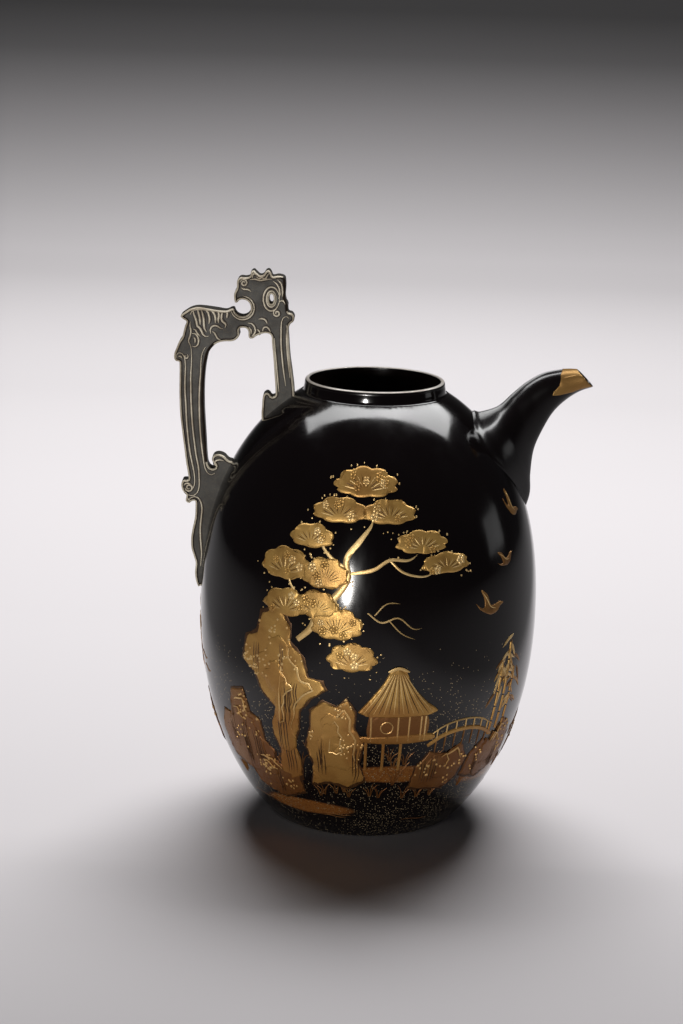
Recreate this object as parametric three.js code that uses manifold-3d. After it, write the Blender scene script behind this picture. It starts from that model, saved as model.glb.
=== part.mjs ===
// A lacquered wooden ewer: an egg-shaped turned body with an open neck, a carved
// spout and an openwork scroll handle of carved boards.
// Millimetres, +Z up. The origin is the middle of the flat base. The spout points
// to +X, the handle stands at -X, and the XZ plane is the ewer's mirror plane.

import * as THREE from 'three';
import { mergeVertices } from 'three/addons/utils/BufferGeometryUtils.js';
import Module from 'manifold-3d';

const wasm = await Module();
wasm.setup();

// Body: two turned shells that meet at the girth.
const BELLY_RADIUS = 75;
const GIRTH_HEIGHT = 95;
const BASE_RADIUS = 41.2;
const BASE_EDGE = 0.8;
const NECK_SEAT_RISE = 95;
const NECK_FOOT_RADIUS = 34.3;
const CROWN_FULLNESS = 2.3;
const BOWL_FULLNESS = 2.08;
const BODY_WALL = 4;
const FLOOR_THICKNESS = 5;
const TONGUE_HEIGHT = 4;

// Base disc, let into the floor from inside.
const BASE_RIM_WIDTH = 11.2;
const BASE_LEDGE_WIDTH = 4.3;
const BASE_LEDGE_HEIGHT = 2.5;

// Neck collar and the rim ring on it.
const MOUTH_RADIUS = 28.8;
const SPIGOT_WALL = 2.5;
const COVE_RADIUS = 3.6;
const COLLAR_HEIGHT = 5.4;
const RIM_HEIGHT = 1.6;
const RIM_OVERHANG = 0.6;
const RIM_ROUND = 0.5;

// Spout: reach from the axis, heights above and below the neck's seat, walls.
const SPOUT_REACH = 95.4;
const SPOUT_TIP_RISE = 6.6;
const SPOUT_CUT_DROP = 7.4;
const SPOUT_ROOT_HALF_WIDTH = 19;
const SPOUT_TIP_HALF_WIDTH = 4.6;
const SPOUT_ROOT_TOP_DROP = 7;
const SPOUT_ROOT_FOOT_DROP = 43;
const SPOUT_ROOT_STANDOFF = 2.8;
const SPOUT_ROOT_WALL = 5.5;
const SPOUT_TIP_WALL = 1.3;
const SPOUT_TENON_INSET = 3;

// Handle: three carved members of one thickness.
const HANDLE_THICKNESS = 8.5;
const OUTER_POST_STANDOFF = 5;
const OUTER_POST_WIDTH = 10.8;
const INNER_POST_STANDOFF = 1;
const INNER_POST_WIDTH = 7.9;
const GRIP_RISE = 22;
const CREST_RISE = 32;
const RING_RADIUS = 3.6;
const EYE_HALF_WIDTH = 1;
const EYE_HALF_HEIGHT = 2.1;
const FOOT_TIP_RISE = 5.8;
const FOOT_HEIGHT = 59;
const FOOT_NOTCH = 4;

// Joinery of the handle.
const OUTER_JOINT_DROP = 4.5;
const INNER_JOINT_RISE = 2;
const TENON_WIDTH = 4.5;
const TENON_THICKNESS = 3.2;
const TENON_LENGTH = 8;
const OUTER_TENON_SHIFT = 0.6;
const INNER_TENON_SHIFT = 2.6;
const PIN_RADIUS = 1;
const PIN_SHARE = 0.55;
const DOWEL_RADIUS = 2;
const DOWEL_DEPTH_IN_BODY = 3;
const DOWEL_DEPTH_IN_FOOT = 4;
const UPPER_DOWEL_DROP = 8;
const LOWER_DOWEL_RISE = 26;
const INNER_DOWEL_SHIFT = 1.2;

// Gap left between a piece and the neighbour that it was cut to.
const CLEARANCE = 0.3;

const AROUND = 48;

const neckSeat = GIRTH_HEIGHT + NECK_SEAT_RISE;
const collarTop = neckSeat + COLLAR_HEIGHT;
const neckRadius = NECK_FOOT_RADIUS - COVE_RADIUS;
const spigotRadius = MOUTH_RADIUS + SPIGOT_WALL;
const bowlDepth = depthToPole(GIRTH_HEIGHT, BASE_RADIUS, BOWL_FULLNESS);
const crownDepth = depthToPole(NECK_SEAT_RISE, NECK_FOOT_RADIUS, CROWN_FULLNESS);

// How far from the girth a curve of this fullness would close, if it passes
// through endRadius at the distance run from the girth.
function depthToPole(run, endRadius, fullness) {
  return run / Math.pow(1 - (endRadius / BELLY_RADIUS) ** 2, 1 / fullness);
}

// Radius of the body at a height, on the surface that lies inset inside the outer one.
function bodyRadius(z, inset = 0) {
  const above = z > GIRTH_HEIGHT;
  const depth = (above ? crownDepth : bowlDepth) - inset;
  const fullness = above ? CROWN_FULLNESS : BOWL_FULLNESS;
  const share = Math.min(1, Math.abs(z - GIRTH_HEIGHT) / depth);
  return (BELLY_RADIUS - inset) * Math.sqrt(1 - Math.pow(share, fullness));
}

// Height of the crown, above the girth, where that surface has the given radius.
function crownHeight(radius, inset = 0) {
  const share = radius / (BELLY_RADIUS - inset);
  const rise = Math.pow(1 - share * share, 1 / CROWN_FULLNESS);
  return GIRTH_HEIGHT + (crownDepth - inset) * rise;
}

// Points of the body's surface from near the girth to a far height, closer
// together at the far end, where it curves most.
function bodyCurve(zFrom, zTo, inset, spans) {
  const points = [];
  for (let i = 0; i <= spans; i += 1) {
    const z = zFrom + (zTo - zFrom) * Math.sin(i / spans * Math.PI / 2);
    points.push([bodyRadius(z, inset), z]);
  }
  return points;
}

// A closed geometry becomes a solid that can be cut and joined.
function solid(geometry) {
  const bare = geometry.clone();
  bare.deleteAttribute('normal');
  bare.deleteAttribute('uv');
  const merged = mergeVertices(bare);
  const index = merged.index.array;
  const triangles = [];
  for (let i = 0; i < index.length; i += 3) {
    const [a, b, c] = [index[i], index[i + 1], index[i + 2]];
    if (a !== b && b !== c && c !== a) triangles.push(a, b, c);
  }
  return new wasm.Manifold(new wasm.Mesh({
    numProp: 3,
    vertProperties: new Float32Array(merged.attributes.position.array),
    triVerts: new Uint32Array(triangles),
  }));
}

function geometryOf(manifold) {
  const { vertProperties, triVerts } = manifold.getMesh();
  const geometry = new THREE.BufferGeometry();
  geometry.setAttribute('position', new THREE.BufferAttribute(vertProperties, 3));
  geometry.setIndex(new THREE.BufferAttribute(triVerts, 1));
  geometry.computeVertexNormals();
  return geometry;
}

// A turned piece: a profile of [radius, height] points that runs up the outside
// and down the inside.
function turned(profile) {
  const points = [...profile, profile[0]].map(([r, z]) => new THREE.Vector2(r, z));
  return solid(new THREE.LatheGeometry(points, AROUND).rotateX(Math.PI / 2));
}

// A carved board: an outline of [x, z] points, centred on the mirror plane. Where
// two stretches of the outline meet, their shared point is kept once.
function board(outline) {
  const corners = outline.map(([x, z]) => new THREE.Vector2(x, z));
  const kept = corners.filter((point, i) => point.distanceTo(corners.at(i - 1)) > 0.01);
  const geometry = new THREE.ExtrudeGeometry(new THREE.Shape(kept), {
    depth: HANDLE_THICKNESS,
    bevelEnabled: false,
  });
  return solid(geometry.translate(0, 0, -HANDLE_THICKNESS / 2).rotateX(Math.PI / 2));
}

// A scroll on a board's edge: a round lobe of the board's thickness.
function scroll(x, z, radius) {
  const disc = new THREE.CylinderGeometry(radius, radius, HANDLE_THICKNESS, 14);
  return solid(disc.translate(x, 0, z));
}

// A smooth line through a few points, with a point halfway along each span.
function smooth(points) {
  const curve = new THREE.SplineCurve(points.map(([x, z]) => new THREE.Vector2(x, z)));
  return curve.getPoints((points.length - 1) * 2).map((point) => [point.x, point.y]);
}

// Points on an arc about a centre, angles in degrees.
function arc(x, z, radius, from, to, steps) {
  const points = [];
  for (let i = 0; i <= steps; i += 1) {
    const angle = THREE.MathUtils.degToRad(from + (to - from) * i / steps);
    points.push([x + radius * Math.cos(angle), z + radius * Math.sin(angle)]);
  }
  return points;
}

function box(xFrom, xTo, width, zFrom, zTo) {
  const block = new THREE.BoxGeometry(xTo - xFrom, width, zTo - zFrom);
  return solid(block.translate((xFrom + xTo) / 2, 0, (zFrom + zTo) / 2));
}

const rodAlongX = (radius, xFrom, xTo, z) => solid(
  new THREE.CylinderGeometry(radius, radius, xTo - xFrom, 12)
    .rotateZ(Math.PI / 2).translate((xFrom + xTo) / 2, 0, z));

const rodAlongY = (radius, length, x, z) => solid(
  new THREE.CylinderGeometry(radius, radius, length, 12).translate(x, 0, z));

const rodAlongZ = (radius, x, zFrom, zTo) => solid(
  new THREE.CylinderGeometry(radius, radius, zTo - zFrom, 12)
    .rotateX(Math.PI / 2).translate(x, 0, (zFrom + zTo) / 2));

// Turned shells of the body

const baseHole = BASE_RADIUS - BASE_RIM_WIDTH;
const baseRebate = baseHole + BASE_LEDGE_WIDTH;
const jointRadius = BELLY_RADIUS - BODY_WALL / 2;
const tongueTop = GIRTH_HEIGHT + TONGUE_HEIGHT;
const mouthHole = spigotRadius + CLEARANCE;
const mouthUnder = crownHeight(mouthHole, BODY_WALL);

let bodyLower = turned([
  [baseHole, 0],
  [BASE_RADIUS - BASE_EDGE, 0],
  ...bodyCurve(GIRTH_HEIGHT, BASE_EDGE, 0, 10).reverse(),
  [jointRadius - CLEARANCE / 2, GIRTH_HEIGHT],
  [jointRadius - CLEARANCE / 2, tongueTop],
  [bodyRadius(tongueTop, BODY_WALL), tongueTop],
  ...bodyCurve(GIRTH_HEIGHT, FLOOR_THICKNESS, BODY_WALL, 7),
  [baseRebate, FLOOR_THICKNESS],
  [baseRebate, BASE_LEDGE_HEIGHT],
  [baseHole, BASE_LEDGE_HEIGHT],
]);

let bodyUpper = turned([
  [jointRadius + CLEARANCE / 2, GIRTH_HEIGHT],
  ...bodyCurve(GIRTH_HEIGHT, neckSeat, 0, 11),
  [mouthHole, neckSeat],
  ...bodyCurve(tongueTop + CLEARANCE, mouthUnder, BODY_WALL, 8).reverse(),
  [jointRadius + CLEARANCE / 2, tongueTop + CLEARANCE],
]);

const baseDisc = turned([
  [0, 0],
  [baseHole - CLEARANCE, 0],
  [baseHole - CLEARANCE, BASE_LEDGE_HEIGHT],
  [baseRebate - CLEARANCE, BASE_LEDGE_HEIGHT],
  [baseRebate - CLEARANCE, FLOOR_THICKNESS],
  [0, FLOOR_THICKNESS],
]);

const neckCollar = turned([
  [MOUTH_RADIUS, mouthUnder],
  [spigotRadius, mouthUnder],
  [spigotRadius, neckSeat],
  ...arc(NECK_FOOT_RADIUS, neckSeat + COVE_RADIUS, COVE_RADIUS, 270, 180, 4),
  [neckRadius, collarTop],
  [MOUTH_RADIUS, collarTop],
]);

const rimRadius = neckRadius + RIM_OVERHANG;
const rimTop = collarTop + RIM_HEIGHT;
const rimRing = turned([
  [MOUTH_RADIUS, collarTop],
  [rimRadius - RIM_ROUND, collarTop],
  [rimRadius, collarTop + RIM_ROUND],
  [rimRadius, rimTop - RIM_ROUND],
  [rimRadius - RIM_ROUND, rimTop],
  [MOUTH_RADIUS + RIM_ROUND, rimTop],
  [MOUTH_RADIUS, rimTop - RIM_ROUND],
]);

// The space that the closed body and neck fill, grown by the clearance, and the
// hollow inside them. Neighbours are cut to these.
const bodySpace = turned([
  [0, 0],
  [BASE_RADIUS + CLEARANCE, 0],
  ...bodyCurve(GIRTH_HEIGHT, BASE_EDGE, -CLEARANCE, 10).reverse().slice(0, -1),
  ...bodyCurve(GIRTH_HEIGHT, neckSeat, -CLEARANCE, 11),
  [NECK_FOOT_RADIUS + CLEARANCE, rimTop],
  [0, rimTop],
]);
const hollow = turned([
  [0, FLOOR_THICKNESS],
  ...bodyCurve(GIRTH_HEIGHT, FLOOR_THICKNESS, BODY_WALL, 7).reverse().slice(0, -1),
  ...bodyCurve(GIRTH_HEIGHT, mouthUnder, BODY_WALL, 11),
  [0, mouthUnder],
]);

// Spout
// Its side view is the space between a top line and an under line, which run from
// inside the body to the slanting cut at the tip. Each pair of points is one
// section of the spout, with its half width.

const tipZ = neckSeat + SPOUT_TIP_RISE;
const cutTopX = SPOUT_REACH - SPOUT_CUT_DROP;
const cutTopZ = tipZ + SPOUT_CUT_DROP;
const rootTopZ = neckSeat - SPOUT_ROOT_TOP_DROP;
const rootFootZ = neckSeat - SPOUT_ROOT_FOOT_DROP;
const rootTopX = bodyRadius(rootTopZ) + SPOUT_ROOT_STANDOFF;
const rootFootX = bodyRadius(rootFootZ) + SPOUT_ROOT_STANDOFF;
const spoutRun = cutTopX - rootTopX;
const spoutRise = cutTopZ - rootTopZ;
const footRun = SPOUT_REACH - rootFootX;
const footRise = tipZ - rootFootZ;
const widthDrop = SPOUT_ROOT_HALF_WIDTH - SPOUT_TIP_HALF_WIDTH;

// Shares of the run and rise from root to tip at each section.
const TOP_LINE = [[-0.2, -0.12], [0, 0], [0.19, 0.16], [0.34, 0.45], [0.48, 0.7],
  [0.65, 0.9], [0.81, 0.98], [0.91, 1], [1, 1]];
const UNDER_LINE = [[-0.17, -0.2], [0, 0], [0, 0.2], [0.04, 0.42], [0.17, 0.6],
  [0.35, 0.77], [0.58, 0.89], [0.79, 0.96], [1, 1]];
const WIDTH_SHARE = [1.1, 0.9, 0.5, 0.3, 0.2, 0.14, 0.07, 0.02, 0];
const TEARDROP = [0.6, 0.6, 0.45, 0.3, 0.2, 0.12, 0.06, 0, 0];

const inPlane = (x, z) => new THREE.Vector3(x, 0, z);
const topLine = new THREE.CatmullRomCurve3(
  TOP_LINE.map(([run, rise]) => inPlane(rootTopX + run * spoutRun, rootTopZ + rise * spoutRise)));
const underLine = new THREE.CatmullRomCurve3(
  UNDER_LINE.map(([run, rise]) => inPlane(rootFootX + run * footRun, rootFootZ + rise * footRise)));
const widthLine = new THREE.SplineCurve(WIDTH_SHARE.map((share, i) => new THREE.Vector2(
  SPOUT_TIP_HALF_WIDTH + share * widthDrop, TEARDROP[i])));

// The spout's outside, or a surface set in from it: a cylinder whose rings are
// laid on the sections. past carries the last section on beyond the cut.
function spoutForm(rootInset, tipInset, sides, past = 0) {
  const rows = 16;
  const form = new THREE.CylinderGeometry(1, 1, 1, sides, rows);
  const place = form.attributes.position;
  for (let i = 0; i < place.count; i += 1) {
    const along = place.getY(i) + 0.5;
    const top = topLine.getPoint(along);
    const under = underLine.getPoint(along);
    const section = widthLine.getPoint(along);
    const inset = rootInset + (tipInset - rootInset) * along;
    const middle = top.clone().add(under).multiplyScalar(0.5);
    const up = top.sub(under).multiplyScalar(0.5);
    up.setLength(up.length() - inset);
    const [across, high] = [place.getX(i), place.getZ(i)];
    const half = (section.x - inset) * (1 + section.y * high);
    const beyond = along > 1 - 0.5 / rows ? past : 0;
    place.setXYZ(i, middle.x + up.x * high + beyond, -half * across,
      middle.z + up.z * high + beyond);
  }
  return solid(form);
}

const spoutBore = spoutForm(SPOUT_ROOT_WALL, SPOUT_TIP_WALL, 16, 1);
const spoutTenon = spoutForm(SPOUT_TENON_INSET, SPOUT_TIP_WALL / 2, 20);
const spoutHole = spoutForm(SPOUT_TENON_INSET - CLEARANCE, 0, 20);
const spout = spoutForm(0, 0, 24)
  .subtract(bodySpace)
  .add(spoutTenon.subtract(hollow))
  .subtract(spoutBore);
bodyUpper = bodyUpper.subtract(spoutHole.intersect(bodySpace));

const sideBlock = (side) => solid(new THREE.BoxGeometry(2 * SPOUT_REACH, SPOUT_REACH, cutTopZ * 2)
  .translate(SPOUT_REACH, side * SPOUT_REACH / 2, cutTopZ / 2));
const spoutFront = spout.intersect(sideBlock(-1));
const spoutBack = spout.intersect(sideBlock(1));

// Handle
// The outer post's foot is drawn off the body: [distance off it, share of the
// foot's height]. The posts are drawn from their own middle lines, and the top
// board in shares of the posts' spacing and of the crest's rise above the grip.

const outerX = -(BELLY_RADIUS + OUTER_POST_STANDOFF);
const outerHalf = OUTER_POST_WIDTH / 2;
const innerHalf = INNER_POST_WIDTH / 2;
const innerX = -(NECK_FOOT_RADIUS + INNER_POST_STANDOFF + innerHalf);
const gripTop = neckSeat + GRIP_RISE;
const footTip = GIRTH_HEIGHT + FOOT_TIP_RISE;
const footTop = footTip + FOOT_HEIGHT;
const outerTop = gripTop - OUTER_JOINT_DROP;
const innerTop = gripTop + INNER_JOINT_RISE;
const postSpacing = innerX - outerX;

const offBody = (points) => points.map(([off, share]) => {
  const z = footTip + share * FOOT_HEIGHT;
  return [-(bodyRadius(z) + off), z];
});
const onBoard = (points) => points.map(([x, z]) => [
  outerX + x * postSpacing, gripTop + z * CREST_RISE]);

// Lean of the outer post towards the body, at shares of the way up from its foot.
const POST_LEAN = [[2.9, 0.02], [1.9, 0.16], [1.1, 0.31], [0.4, 0.45], [0.1, 0.59], [-0.1, 0.8]];
const outerLine = (side, taper) => POST_LEAN.map(([lean, share]) => [
  outerX + side + lean * taper, footTop - FOOT_NOTCH + share * (gripTop - footTop + FOOT_NOTCH)]);

const outerPostOutline = [
  ...smooth(offBody([[0.9, 0], [2, 0.054], [2.6, 0.139], [3.6, 0.236], [5.6, 0.32], [6.1, 0.41],
    [6.2, 0.512], [6.6, 0.614], [9.4, 0.686]])),
  ...smooth([...offBody([[13.2, 0.754]]), ...outerLine(-outerHalf, 1),
    [outerX - outerHalf - 0.8, outerTop]]),
  ...smooth([[outerX + outerHalf + 1.2, outerTop], ...outerLine(outerHalf - 0.5, 0.9).reverse(),
    ...offBody([[9.3, 0.941], [6.8, 0.925], [4, 0.949]])]),
  ...offBody([[-4, 0.975], [-4, 0.5], [-4, 0]]),
];
const outerScrolls = [
  [outerX - outerHalf - 0.6, outerTop - 2.3, 2.1],
  ...offBody([[14.9, 0.788]]).map(([x, z]) => [x, z, 2.3]),
  ...offBody([[11, 0.692]]).map(([x, z]) => [x, z, 1.9]),
  ...offBody([[4.8, 0.959]]).map(([x, z]) => [x, z, 2.9]),
];

// Edges of the inner post: its foot spreads under a scroll on the shoulder, and
// the straight part leans away from the neck as it rises.
const innerLine = (points) => points.map(([x, share]) => [
  innerX + x, neckSeat + share * (innerTop - neckSeat)]);
const innerPostOutline = [
  ...smooth([...[[6.2, -14], [6, -6], [4, -4], [0.8, -2.2]].map(([x, z]) => [
    innerX - innerHalf - x, neckSeat + z]),
  ...innerLine([[-innerHalf, 0.02], [-innerHalf - 0.6, 0.35], [-innerHalf - 1.4, 0.67],
    [-innerHalf - 2.2, 1]])]),
  ...smooth(innerLine([[innerHalf - 3, 1], [innerHalf - 2.1, 0.68], [innerHalf - 1, 0.35],
    [innerHalf - 0.2, 0.06], [innerHalf, -0.1]])),
  [innerX + innerHalf, neckSeat - 14],
];
const innerScrolls = [[innerX - innerHalf - 4.3, neckSeat - 3.4, 2.2]];

// Top board: the rail's end leaf and upper edge, the open ring, the crest with its
// two curls, the edge over the inner post, and the underside with leaf and hook.
const [ringX, ringZ] = onBoard([[0.531, 0.472]])[0];
const topBoardOutline = [
  ...smooth([[outerX - outerHalf - 0.8, outerTop],
    ...onBoard([[-0.145, -0.078], [-0.108, 0.013], [-0.096, 0.109], [-0.064, 0.275]])]),
  ...smooth(onBoard([[-0.064, 0.275], [-0.11, 0.341], [-0.074, 0.403], [-0.012, 0.441],
    [0.061, 0.459], [0.147, 0.453], [0.307, 0.428], [0.368, 0.431]])),
  [ringX - RING_RADIUS - 0.8, ringZ + 0.6],
  ...arc(ringX, ringZ, RING_RADIUS, 169, 477, 14),
  ...smooth(onBoard([[0.472, 0.55], [0.453, 0.6], [0.455, 0.678], [0.477, 0.747], [0.487, 0.838],
    [0.514, 0.887], [0.571, 0.887], [0.612, 0.903]])),
  ...smooth(onBoard([[0.713, 0.912], [0.823, 0.897], [0.853, 0.912], [0.907, 0.922],
    [0.961, 0.897]])),
  ...smooth([...onBoard([[0.98, 0.881], [0.985, 0.766], [0.985, 0.631], [1.007, 0.528],
    [1.022, 0.425], [1.02, 0.219]]), [innerX + innerHalf - 3, innerTop]]),
  ...smooth([[innerX - innerHalf - 2.2, innerTop],
    ...onBoard([[0.789, 0.134], [0.737, 0.122], [0.683, 0.091], [0.642, 0.053]])]),
  ...smooth(onBoard([[0.602, 0.053], [0.593, 0.125], [0.58, 0.184], [0.539, 0.206],
    [0.47, 0.184]])),
  ...smooth(onBoard([[0.504, 0.087], [0.423, 0.003]])),
  ...smooth([...onBoard([[0.336, 0.003], [0.26, -0.028], [0.204, -0.1]]),
    [outerX + outerHalf + 1.2, outerTop]]),
];
const boardScrolls = [
  ...onBoard([[0.642, 0.938], [0.804, 0.944]]).map(([x, z]) => [x, z, 1.7]),
  ...onBoard([[1.029, 0.331]]).map(([x, z]) => [x, z, 2]),
  ...onBoard([[0.438, 0.091]]).map(([x, z]) => [x, z, 2.9]),
];
const [eyeX, eyeZ] = onBoard([[0.836, 0.606]])[0];
const eyeHole = solid(new THREE.CylinderGeometry(1, 1, 2 * HANDLE_THICKNESS, 12)
  .scale(EYE_HALF_WIDTH, 1, EYE_HALF_HEIGHT).translate(eyeX, 0, eyeZ));

function carve(outline, scrolls) {
  return scrolls.reduce((whole, place) => whole.add(scroll(...place)), board(outline));
}

// A tenon on a post's top, its mortise in the top board and the pin through both.
function tenonJoint(x, z) {
  const half = TENON_WIDTH / 2;
  const root = z - TENON_THICKNESS / 2;
  const pinZ = z + TENON_LENGTH * PIN_SHARE;
  return {
    tenon: box(x - half, x + half, TENON_THICKNESS, root, z + TENON_LENGTH),
    mortise: box(x - half - CLEARANCE, x + half + CLEARANCE, TENON_THICKNESS + 2 * CLEARANCE,
      root, z + TENON_LENGTH + CLEARANCE),
    pinHole: rodAlongY(PIN_RADIUS + CLEARANCE, 2 * HANDLE_THICKNESS, x, pinZ),
    pin: rodAlongY(PIN_RADIUS, HANDLE_THICKNESS, x, pinZ),
  };
}

const outerJoint = tenonJoint(outerX + OUTER_TENON_SHIFT, outerTop);
const innerJoint = tenonJoint(innerX - INNER_TENON_SHIFT, innerTop);

// Dowels from the handle's feet into the body's wall.
function footDowel(z) {
  const surface = -bodyRadius(z);
  const outEnd = surface - DOWEL_DEPTH_IN_FOOT;
  const inEnd = surface + DOWEL_DEPTH_IN_BODY;
  return {
    dowel: rodAlongX(DOWEL_RADIUS, outEnd, inEnd, z),
    hole: rodAlongX(DOWEL_RADIUS + CLEARANCE, outEnd - CLEARANCE, inEnd + CLEARANCE, z),
  };
}

const upperDowel = footDowel(footTop - UPPER_DOWEL_DROP);
const lowerDowel = footDowel(footTip + LOWER_DOWEL_RISE);
const innerDowelX = innerX - INNER_DOWEL_SHIFT;
const innerSurface = crownHeight(-innerDowelX);
const innerDowelFrom = innerSurface - DOWEL_DEPTH_IN_BODY;
const innerDowelTo = innerSurface + DOWEL_DEPTH_IN_FOOT;
const innerDowel = {
  dowel: rodAlongZ(DOWEL_RADIUS, innerDowelX, innerDowelFrom, innerDowelTo),
  hole: rodAlongZ(DOWEL_RADIUS + CLEARANCE, innerDowelX,
    innerDowelFrom - CLEARANCE, innerDowelTo + CLEARANCE),
};

const outerPost = carve(outerPostOutline, outerScrolls)
  .subtract(bodySpace)
  .add(outerJoint.tenon)
  .subtract(outerJoint.pinHole)
  .subtract(upperDowel.hole)
  .subtract(lowerDowel.hole);

const innerPost = carve(innerPostOutline, innerScrolls)
  .subtract(bodySpace)
  .add(innerJoint.tenon)
  .subtract(innerJoint.pinHole)
  .subtract(innerDowel.hole);

const topBoard = carve(topBoardOutline, boardScrolls)
  .subtract(eyeHole)
  .subtract(outerJoint.mortise)
  .subtract(innerJoint.mortise)
  .subtract(outerJoint.pinHole)
  .subtract(innerJoint.pinHole);

bodyUpper = bodyUpper
  .subtract(upperDowel.hole)
  .subtract(lowerDowel.hole)
  .subtract(innerDowel.hole);

const lacquer = { color: 0x0d090a, roughness: 0.12, metalness: 0 };
const rimLacquer = { color: 0xb7a98f, roughness: 0.3, metalness: 0.1 };
const handleLacquer = { color: 0x46453f, roughness: 0.4, metalness: 0.1 };
const bamboo = { color: 0xc6a564, roughness: 0.6, metalness: 0 };

const pieces = [
  ['body_lower', bodyLower, lacquer],
  ['body_upper', bodyUpper, lacquer],
  ['base_disc', baseDisc, lacquer],
  ['neck_collar', neckCollar, lacquer],
  ['rim_ring', rimRing, rimLacquer],
  ['spout_front', spoutFront, lacquer],
  ['spout_back', spoutBack, lacquer],
  ['handle_outer_post', outerPost, handleLacquer],
  ['handle_top_board', topBoard, handleLacquer],
  ['handle_inner_post', innerPost, handleLacquer],
  ['outer_tenon_pin', outerJoint.pin, bamboo],
  ['inner_tenon_pin', innerJoint.pin, bamboo],
  ['upper_foot_dowel', upperDowel.dowel, bamboo],
  ['lower_foot_dowel', lowerDowel.dowel, bamboo],
  ['inner_foot_dowel', innerDowel.dowel, bamboo],
];

const ewer = new THREE.Group();
for (const [name, shape, finish] of pieces) {
  const mesh = new THREE.Mesh(geometryOf(shape), new THREE.MeshStandardMaterial(finish));
  mesh.name = name;
  ewer.add(mesh);
}

export default ewer;
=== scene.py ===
# %% [markdown]
# # A lacquered ewer with a scroll handle
#
# The real ewer is turned from wood and coated with many layers of black lacquer.
# A carved spout and a handle of thin carved boards are let into the body. Gold
# powder is sprinkled into the wet lacquer to draw a landscape in low relief.
#
# This lesson dresses the packed CAD model. Every piece is made in millimetres, in
# the CAD's own frame, and made metres at the end.

# %% Load the packed frame
import math
import random

import bmesh
import bpy
from bmesh.types import BMEdge, BMFace, BMVert
from mathutils import Matrix, Vector


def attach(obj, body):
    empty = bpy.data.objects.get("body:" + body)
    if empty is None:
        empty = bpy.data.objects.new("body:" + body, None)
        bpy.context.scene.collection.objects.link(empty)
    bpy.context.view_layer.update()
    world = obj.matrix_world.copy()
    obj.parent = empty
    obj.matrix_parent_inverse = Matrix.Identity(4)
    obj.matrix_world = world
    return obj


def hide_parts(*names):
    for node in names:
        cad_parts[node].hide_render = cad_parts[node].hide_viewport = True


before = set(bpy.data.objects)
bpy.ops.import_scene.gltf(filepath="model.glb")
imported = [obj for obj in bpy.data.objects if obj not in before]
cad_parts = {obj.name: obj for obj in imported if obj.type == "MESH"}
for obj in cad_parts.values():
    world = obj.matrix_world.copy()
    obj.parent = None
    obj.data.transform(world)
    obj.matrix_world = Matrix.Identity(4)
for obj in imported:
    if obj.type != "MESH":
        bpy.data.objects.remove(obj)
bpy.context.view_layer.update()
MM = 0.001

# %% [markdown]
# ## Shader maths as Python
#
# Each finish below is a sum of masks and noises. Long chains of Math nodes are
# hard to read, so a socket is wrapped in a class whose operators add the nodes.

# %% A socket that ordinary arithmetic works on
class Wire:
    """One output socket of a material's nodes."""

    def __init__(self, paint, socket):
        self.paint, self.socket = paint, socket

    def math(self, operation, first, second):
        return self.paint.add("ShaderNodeMath", {"operation": operation}, {0: first, 1: second})

    def __add__(self, other):
        return self.math("ADD", self, other)

    def __sub__(self, other):
        return self.math("SUBTRACT", self, other)

    def __rsub__(self, other):
        return self.math("SUBTRACT", other, self)

    def __mul__(self, other):
        return self.math("MULTIPLY", self, other)

    def __lt__(self, other):
        return self.math("LESS_THAN", self, other)

    def __gt__(self, other):
        return self.math("GREATER_THAN", self, other)

    def __abs__(self):
        return self.math("ABSOLUTE", self, 0)

    def most(self, other):
        return self.math("MAXIMUM", self, other)

    __radd__, __rmul__ = __add__, __mul__


print("operators:", ", ".join(name for name in vars(Wire) if name.startswith("__") and name != "__init__"))

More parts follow.
